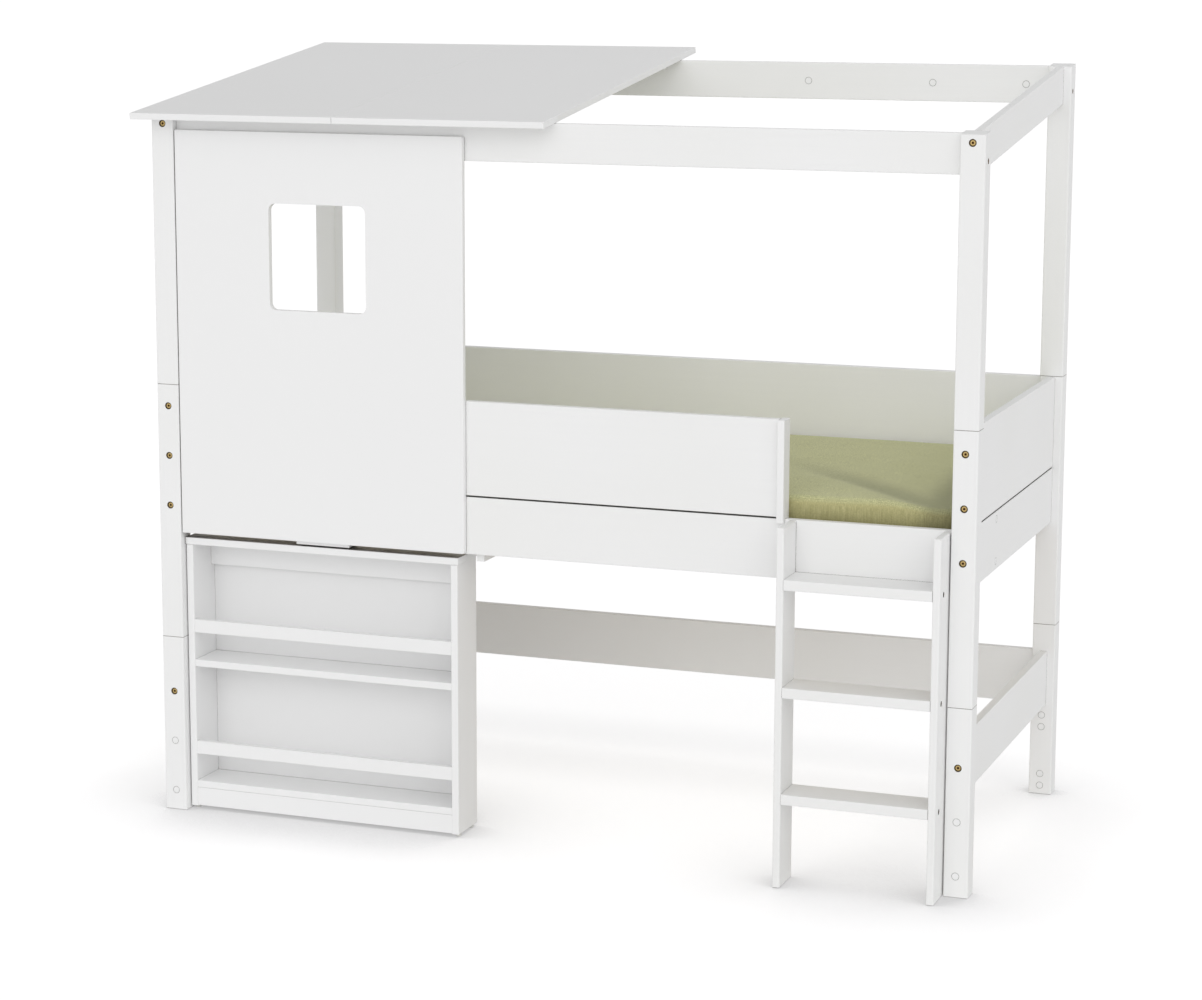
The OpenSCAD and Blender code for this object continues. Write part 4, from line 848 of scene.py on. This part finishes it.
def turned_form(name, rings, steps):
    """A closed turned form along +Z. Each ring has a height, a radius for every angle, and a brightness of
    painted light and shade.
    """
    shape = bmesh.new()
    bright = shape.verts.layers.float.new("bright")
    loops = []
    for height, radius, shine in rings:
        loop = []
        for i in range(steps):
            angle = 2 * math.pi * i / steps
            r = radius(angle)
            vertex = shape.verts.new((r * math.cos(angle), r * math.sin(angle), height))
            vertex[bright] = shine
            loop.append(vertex)
        loops.append(loop)
    for low, high in zip(loops, loops[1:]):
        for i in range(steps):
            j = (i + 1) % steps
            shape.faces.new((low[i], low[j], high[j], high[i]))
    shape.faces.new(list(reversed(loops[0])))
    shape.faces.new(loops[-1])
    bmesh.ops.recalc_face_normals(shape, faces=shape.faces)
    return put(name, mesh_of(shape, name))


def circle(radius):
    """A ring's radius, the same all round."""
    return lambda angle: radius


def hexagon(radius):
    """A ring's radius round a hexagon of that corner radius."""
    return lambda angle: radius * math.cos(math.pi / 6) / math.cos(angle % (math.pi / 3) - math.pi / 6)


def grow(name, node, tree, head, shank, drawn_radius, metal):
    """A plain mesh piece that the tree makes of a head and a shank at each fastener of a CAD node."""
    piece = put(name, driven_places(node))
    modifier = piece.modifiers.new("growth", "NODES")
    modifier.node_group = tree
    values = {"Head": head, "Shank": shank, "Drawn radius": drawn_radius, "Metal": metal}
    for item in tree.interface.items_tree:
        if item.in_out == "INPUT" and item.name in values:
            modifier[item.identifier] = values[item.name]
    bake_modifiers(piece)
    for form in (head, shank):
        bpy.data.objects.remove(form)
    return piece


tree = bpy.data.node_groups.new("driven_fasteners", "GeometryNodeTree")
tree.interface.new_socket("Geometry", in_out="OUTPUT", socket_type="NodeSocketGeometry")
for label, kind in (("Points", "Geometry"), ("Head", "Object"), ("Shank", "Object"),
                    ("Drawn radius", "Float"), ("Metal", "Material")):
    tree.interface.new_socket(label, in_out="INPUT", socket_type=f"NodeSocket{kind}")
given = add(tree, "NodeGroupInput").outputs
way_in = add(tree, "GeometryNodeInputNamedAttribute", {"Name": "way_in"}, data_type="FLOAT_VECTOR")
turn = add(tree, "FunctionNodeAlignRotationToVector", {"Vector": way_in}, axis="Z")
reach = add(tree, "GeometryNodeInputNamedAttribute", {"Name": "reach"}, data_type="FLOAT")
widest = add(tree, "GeometryNodeInputNamedAttribute", {"Name": "widest"}, data_type="FLOAT")
width = add(tree, "ShaderNodeMath", {0: widest, 1: given["Drawn radius"]}, operation="DIVIDE")
head_size = add(tree, "ShaderNodeCombineXYZ", {"X": width, "Y": width, "Z": 1.0})
shank_size = add(tree, "ShaderNodeCombineXYZ", {"X": 1.0, "Y": 1.0, "Z": reach})
joined = add(tree, "GeometryNodeJoinGeometry")
for part, size in (("Head", head_size), ("Shank", shank_size)):
    form = add(tree, "GeometryNodeObjectInfo", {"Object": given[part]}).outputs["Geometry"]
    placed = add(tree, "GeometryNodeInstanceOnPoints", {"Points": given["Points"], "Instance": form,
                                                        "Rotation": turn, "Scale": size})
    tree.links.new(placed.outputs["Instances"], joined.inputs["Geometry"])
real = add(tree, "GeometryNodeRealizeInstances", {"Geometry": joined})
plated = add(tree, "GeometryNodeSetMaterial", {"Geometry": real, "Material": given["Metal"]})
add(tree, "NodeGroupOutput", {"Geometry": plated})
fastener_tree = tree


def plated_steel(name, light, dark, shaded, roughness):
    """Plated steel, finely turned, with a faint uneven tint. Shaded gives two tones of painted shade: as
    "bright" falls below 1 the steel is painted towards the first, and below 0 towards the second.
    """
    material, tree = new_material(name)
    place = add(tree, "ShaderNodeTexCoord").outputs["Object"]
    tint = add(tree, "ShaderNodeTexNoise", {"Vector": place, "Scale": cells(6.25), "Detail": 2.0})
    tone = add(tree, "ShaderNodeMix", {"Factor": tint, "A": linear(light), "B": linear(dark)},
               data_type="RGBA")
    gloss = add(tree, "ShaderNodeMapRange", {"Value": tint, "To Min": roughness - 0.06,
                                             "To Max": roughness + 0.08})
    if shaded:
        bright = add(tree, "ShaderNodeAttribute", attribute_name="bright").outputs["Fac"]
        tone = add(tree, "ShaderNodeMix", {"Factor": bright, "A": linear(shaded[0]), "B": tone},
                   data_type="RGBA")
        deep = add(tree, "ShaderNodeMath", {0: bright, 1: -1.0}, operation="MULTIPLY")
        tone = add(tree, "ShaderNodeMix", {"Factor": deep, "A": tone, "B": linear(shaded[1])},
                   data_type="RGBA")
    fine = add(tree, "ShaderNodeTexNoise", {"Vector": place, "Scale": cells(0.667)})
    marks = add(tree, "ShaderNodeBump", {"Height": fine, "Distance": 0.00003, "Strength": 0.5})
    plate = add(tree, "ShaderNodeBsdfPrincipled", {
        "Base Color": tone, "Metallic": 1.0, "Roughness": gloss, "Normal": marks})
    add(tree, "ShaderNodeOutputMaterial", {"Surface": plate})
    return material


# The last value of each ring is its painted brightness: 1 lit, lower values painted shade on the head's side
# and the washer, -1 the socket in near-black painted shade.
bolt_head = turned_form("bolt_head", [
    (SOCKET_H, hexagon(SOCKET_R), -1.0), (0.0003, hexagon(SOCKET_R), -1.0),
    (0.0, hexagon(SOCKET_R * 1.08), 0.6), (0.0, circle(HEAD_R * 0.75), 1.0),
    (0.0, circle(HEAD_R - HEAD_EDGE), 1.0), (HEAD_EDGE, circle(HEAD_R), 0.8),
    (HEAD_H - WASHER_T, circle(HEAD_R), 0.1), (HEAD_H - WASHER_T, circle(WASHER_R), 0.0),
    (HEAD_H, circle(WASHER_R), 0.0)], 36)
bolt_shank = turned_form("bolt_shank", [
    (0.03, circle(BOLT_SHANK), 0.8), (0.97, circle(BOLT_SHANK), 0.8),
    (1.0, circle(BOLT_SHANK * 0.8), 0.8)], 18)
brass = plated_steel("brass_coloured_passivated_steel", "#e2c88c", "#d3b272", ("#4f4530", "#4a2c14"), 0.34)
bolts = grow("hex_socket_bolts", "connector_bolts", fastener_tree, bolt_head, bolt_shank, WASHER_R, brass)
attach(bolts, "frame")
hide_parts("connector_bolts")


# --- Other fastenings -------------------------------------------------------------------------------
# The bolts screw into zinc-plated cross dowels, and hook connectors hold the long boards. Beech pins
# join the posts. White plugs close unused holes, and pale glides lift the bookcase.


def moulded_plastic(name, light, dark, rim=None):
    """Moulded polyethylene with a fine spark-eroded texture, and painted shade on its bevelled rim."""
    material, tree = new_material(name)
    coordinates = add(tree, "ShaderNodeTexCoord").outputs
    place = coordinates["Object"]
    grit = add(tree, "ShaderNodeTexNoise", {"Vector": place, "Scale": cells(1.11)})
    tone = add(tree, "ShaderNodeMix", {"Factor": grit, "A": linear(light), "B": linear(dark)},
               data_type="RGBA")
    if rim:
        facing = add(tree, "ShaderNodeVectorMath", {0: coordinates["Normal"]}, operation="ABSOLUTE")
        facing = add(tree, "ShaderNodeSeparateXYZ", {"Vector": facing}).outputs
        most = add(tree, "ShaderNodeMath", {0: facing["X"], 1: facing["Y"]}, operation="MAXIMUM")
        slanted = add(tree, "ShaderNodeMath", {0: most, 1: 0.9}, operation="LESS_THAN")
        tone = add(tree, "ShaderNodeMix", {"Factor": slanted, "A": tone, "B": linear(rim)}, data_type="RGBA")
    gloss = add(tree, "ShaderNodeMapRange", {"Value": grit, "To Min": 0.42, "To Max": 0.55})
    skin = add(tree, "ShaderNodeBump", {"Height": grit, "Distance": 0.00004, "Strength": 0.6})
    plastic = add(tree, "ShaderNodeBsdfPrincipled", {
        "Base Color": tone, "Roughness": gloss, "IOR": 1.5, "Normal": skin})
    add(tree, "ShaderNodeOutputMaterial", {"Surface": plastic})
    return material


finish_nodes(plated_steel("zinc_plated_steel", "#c9cbce", "#b2b5ba", None, 0.28), "cross_dowels",
             "hook_connectors")
zinc = plated_steel("zinc_plated_screw_steel", "#c9cbce", "#b2b5ba", ("#56585c", "#303236"), 0.28)


def cross(reach, wing):
    """A ring's radius round a cross recess of that reach and half wing width."""
    def radius(angle):
        off = (angle + math.pi / 4) % (math.pi / 2) - math.pi / 4
        return min(reach / math.cos(off), wing / max(abs(math.sin(off)), 1e-6))
    return radius


# Countersunk wood screws with a cross recess. The thread's ridges are rings, which look the same. Their
# rings paint the recess nearly black and the thread's roots darker, as painted shade.
SCREW_R, SCREW_H = 0.0038, 0.0023
SCREW_SHANK = 0.002
# The thread's ridges: how many, the first root and crest and the pitch as shares of the length, and the
# radii of roots and crests as shares of the shank's.
RIDGES = 14
ROOT_AT, CREST_AT, RIDGE_PITCH = 0.41, 0.43, 0.035
ROOT, CREST = 0.70, 0.98
screw_head = turned_form("screw_head", [
    (0.0016, cross(0.0009, 0.0004), -1.0), (0.0002, cross(0.0021, 0.0006), -1.0),
    (0.0, cross(0.0023, 0.0007), 0.6), (0.0, circle(SCREW_R - 0.0002), 1.0),
    (0.0002, circle(SCREW_R), 0.8), (SCREW_H, circle(SCREW_SHANK), 0.6)], 24)
thread = [(0.05, circle(SCREW_SHANK * CREST), 0.8), (0.40, circle(SCREW_SHANK * CREST), 0.8)]
for i in range(RIDGES):
    thread += [(ROOT_AT + RIDGE_PITCH * i, circle(SCREW_SHANK * ROOT), 0.5),
               (CREST_AT + RIDGE_PITCH * i, circle(SCREW_SHANK * CREST), 1.0)]
thread.append((1.0, circle(SCREW_SHANK * 0.05), 0.8))
screw_shank = turned_form("screw_shank", thread, 8)
screws = grow("cross_recess_wood_screws", "wood_screws", fastener_tree, screw_head, screw_shank, SCREW_R,
              zinc)
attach(screws, "frame")
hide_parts("wood_screws")
finish_nodes(raw_pine("turned_raw_beech", 2), "joint_pins", "bookcase_dowels")
finish_nodes(moulded_plastic("moulded_white_plastic", "#f2f2f2", "#eeeeee", "#8f8f8a"), "cover_plugs")
finish_nodes(moulded_plastic("moulded_pale_grey_plastic", "#dadad6", "#cfcfca"), "bookcase_glides")
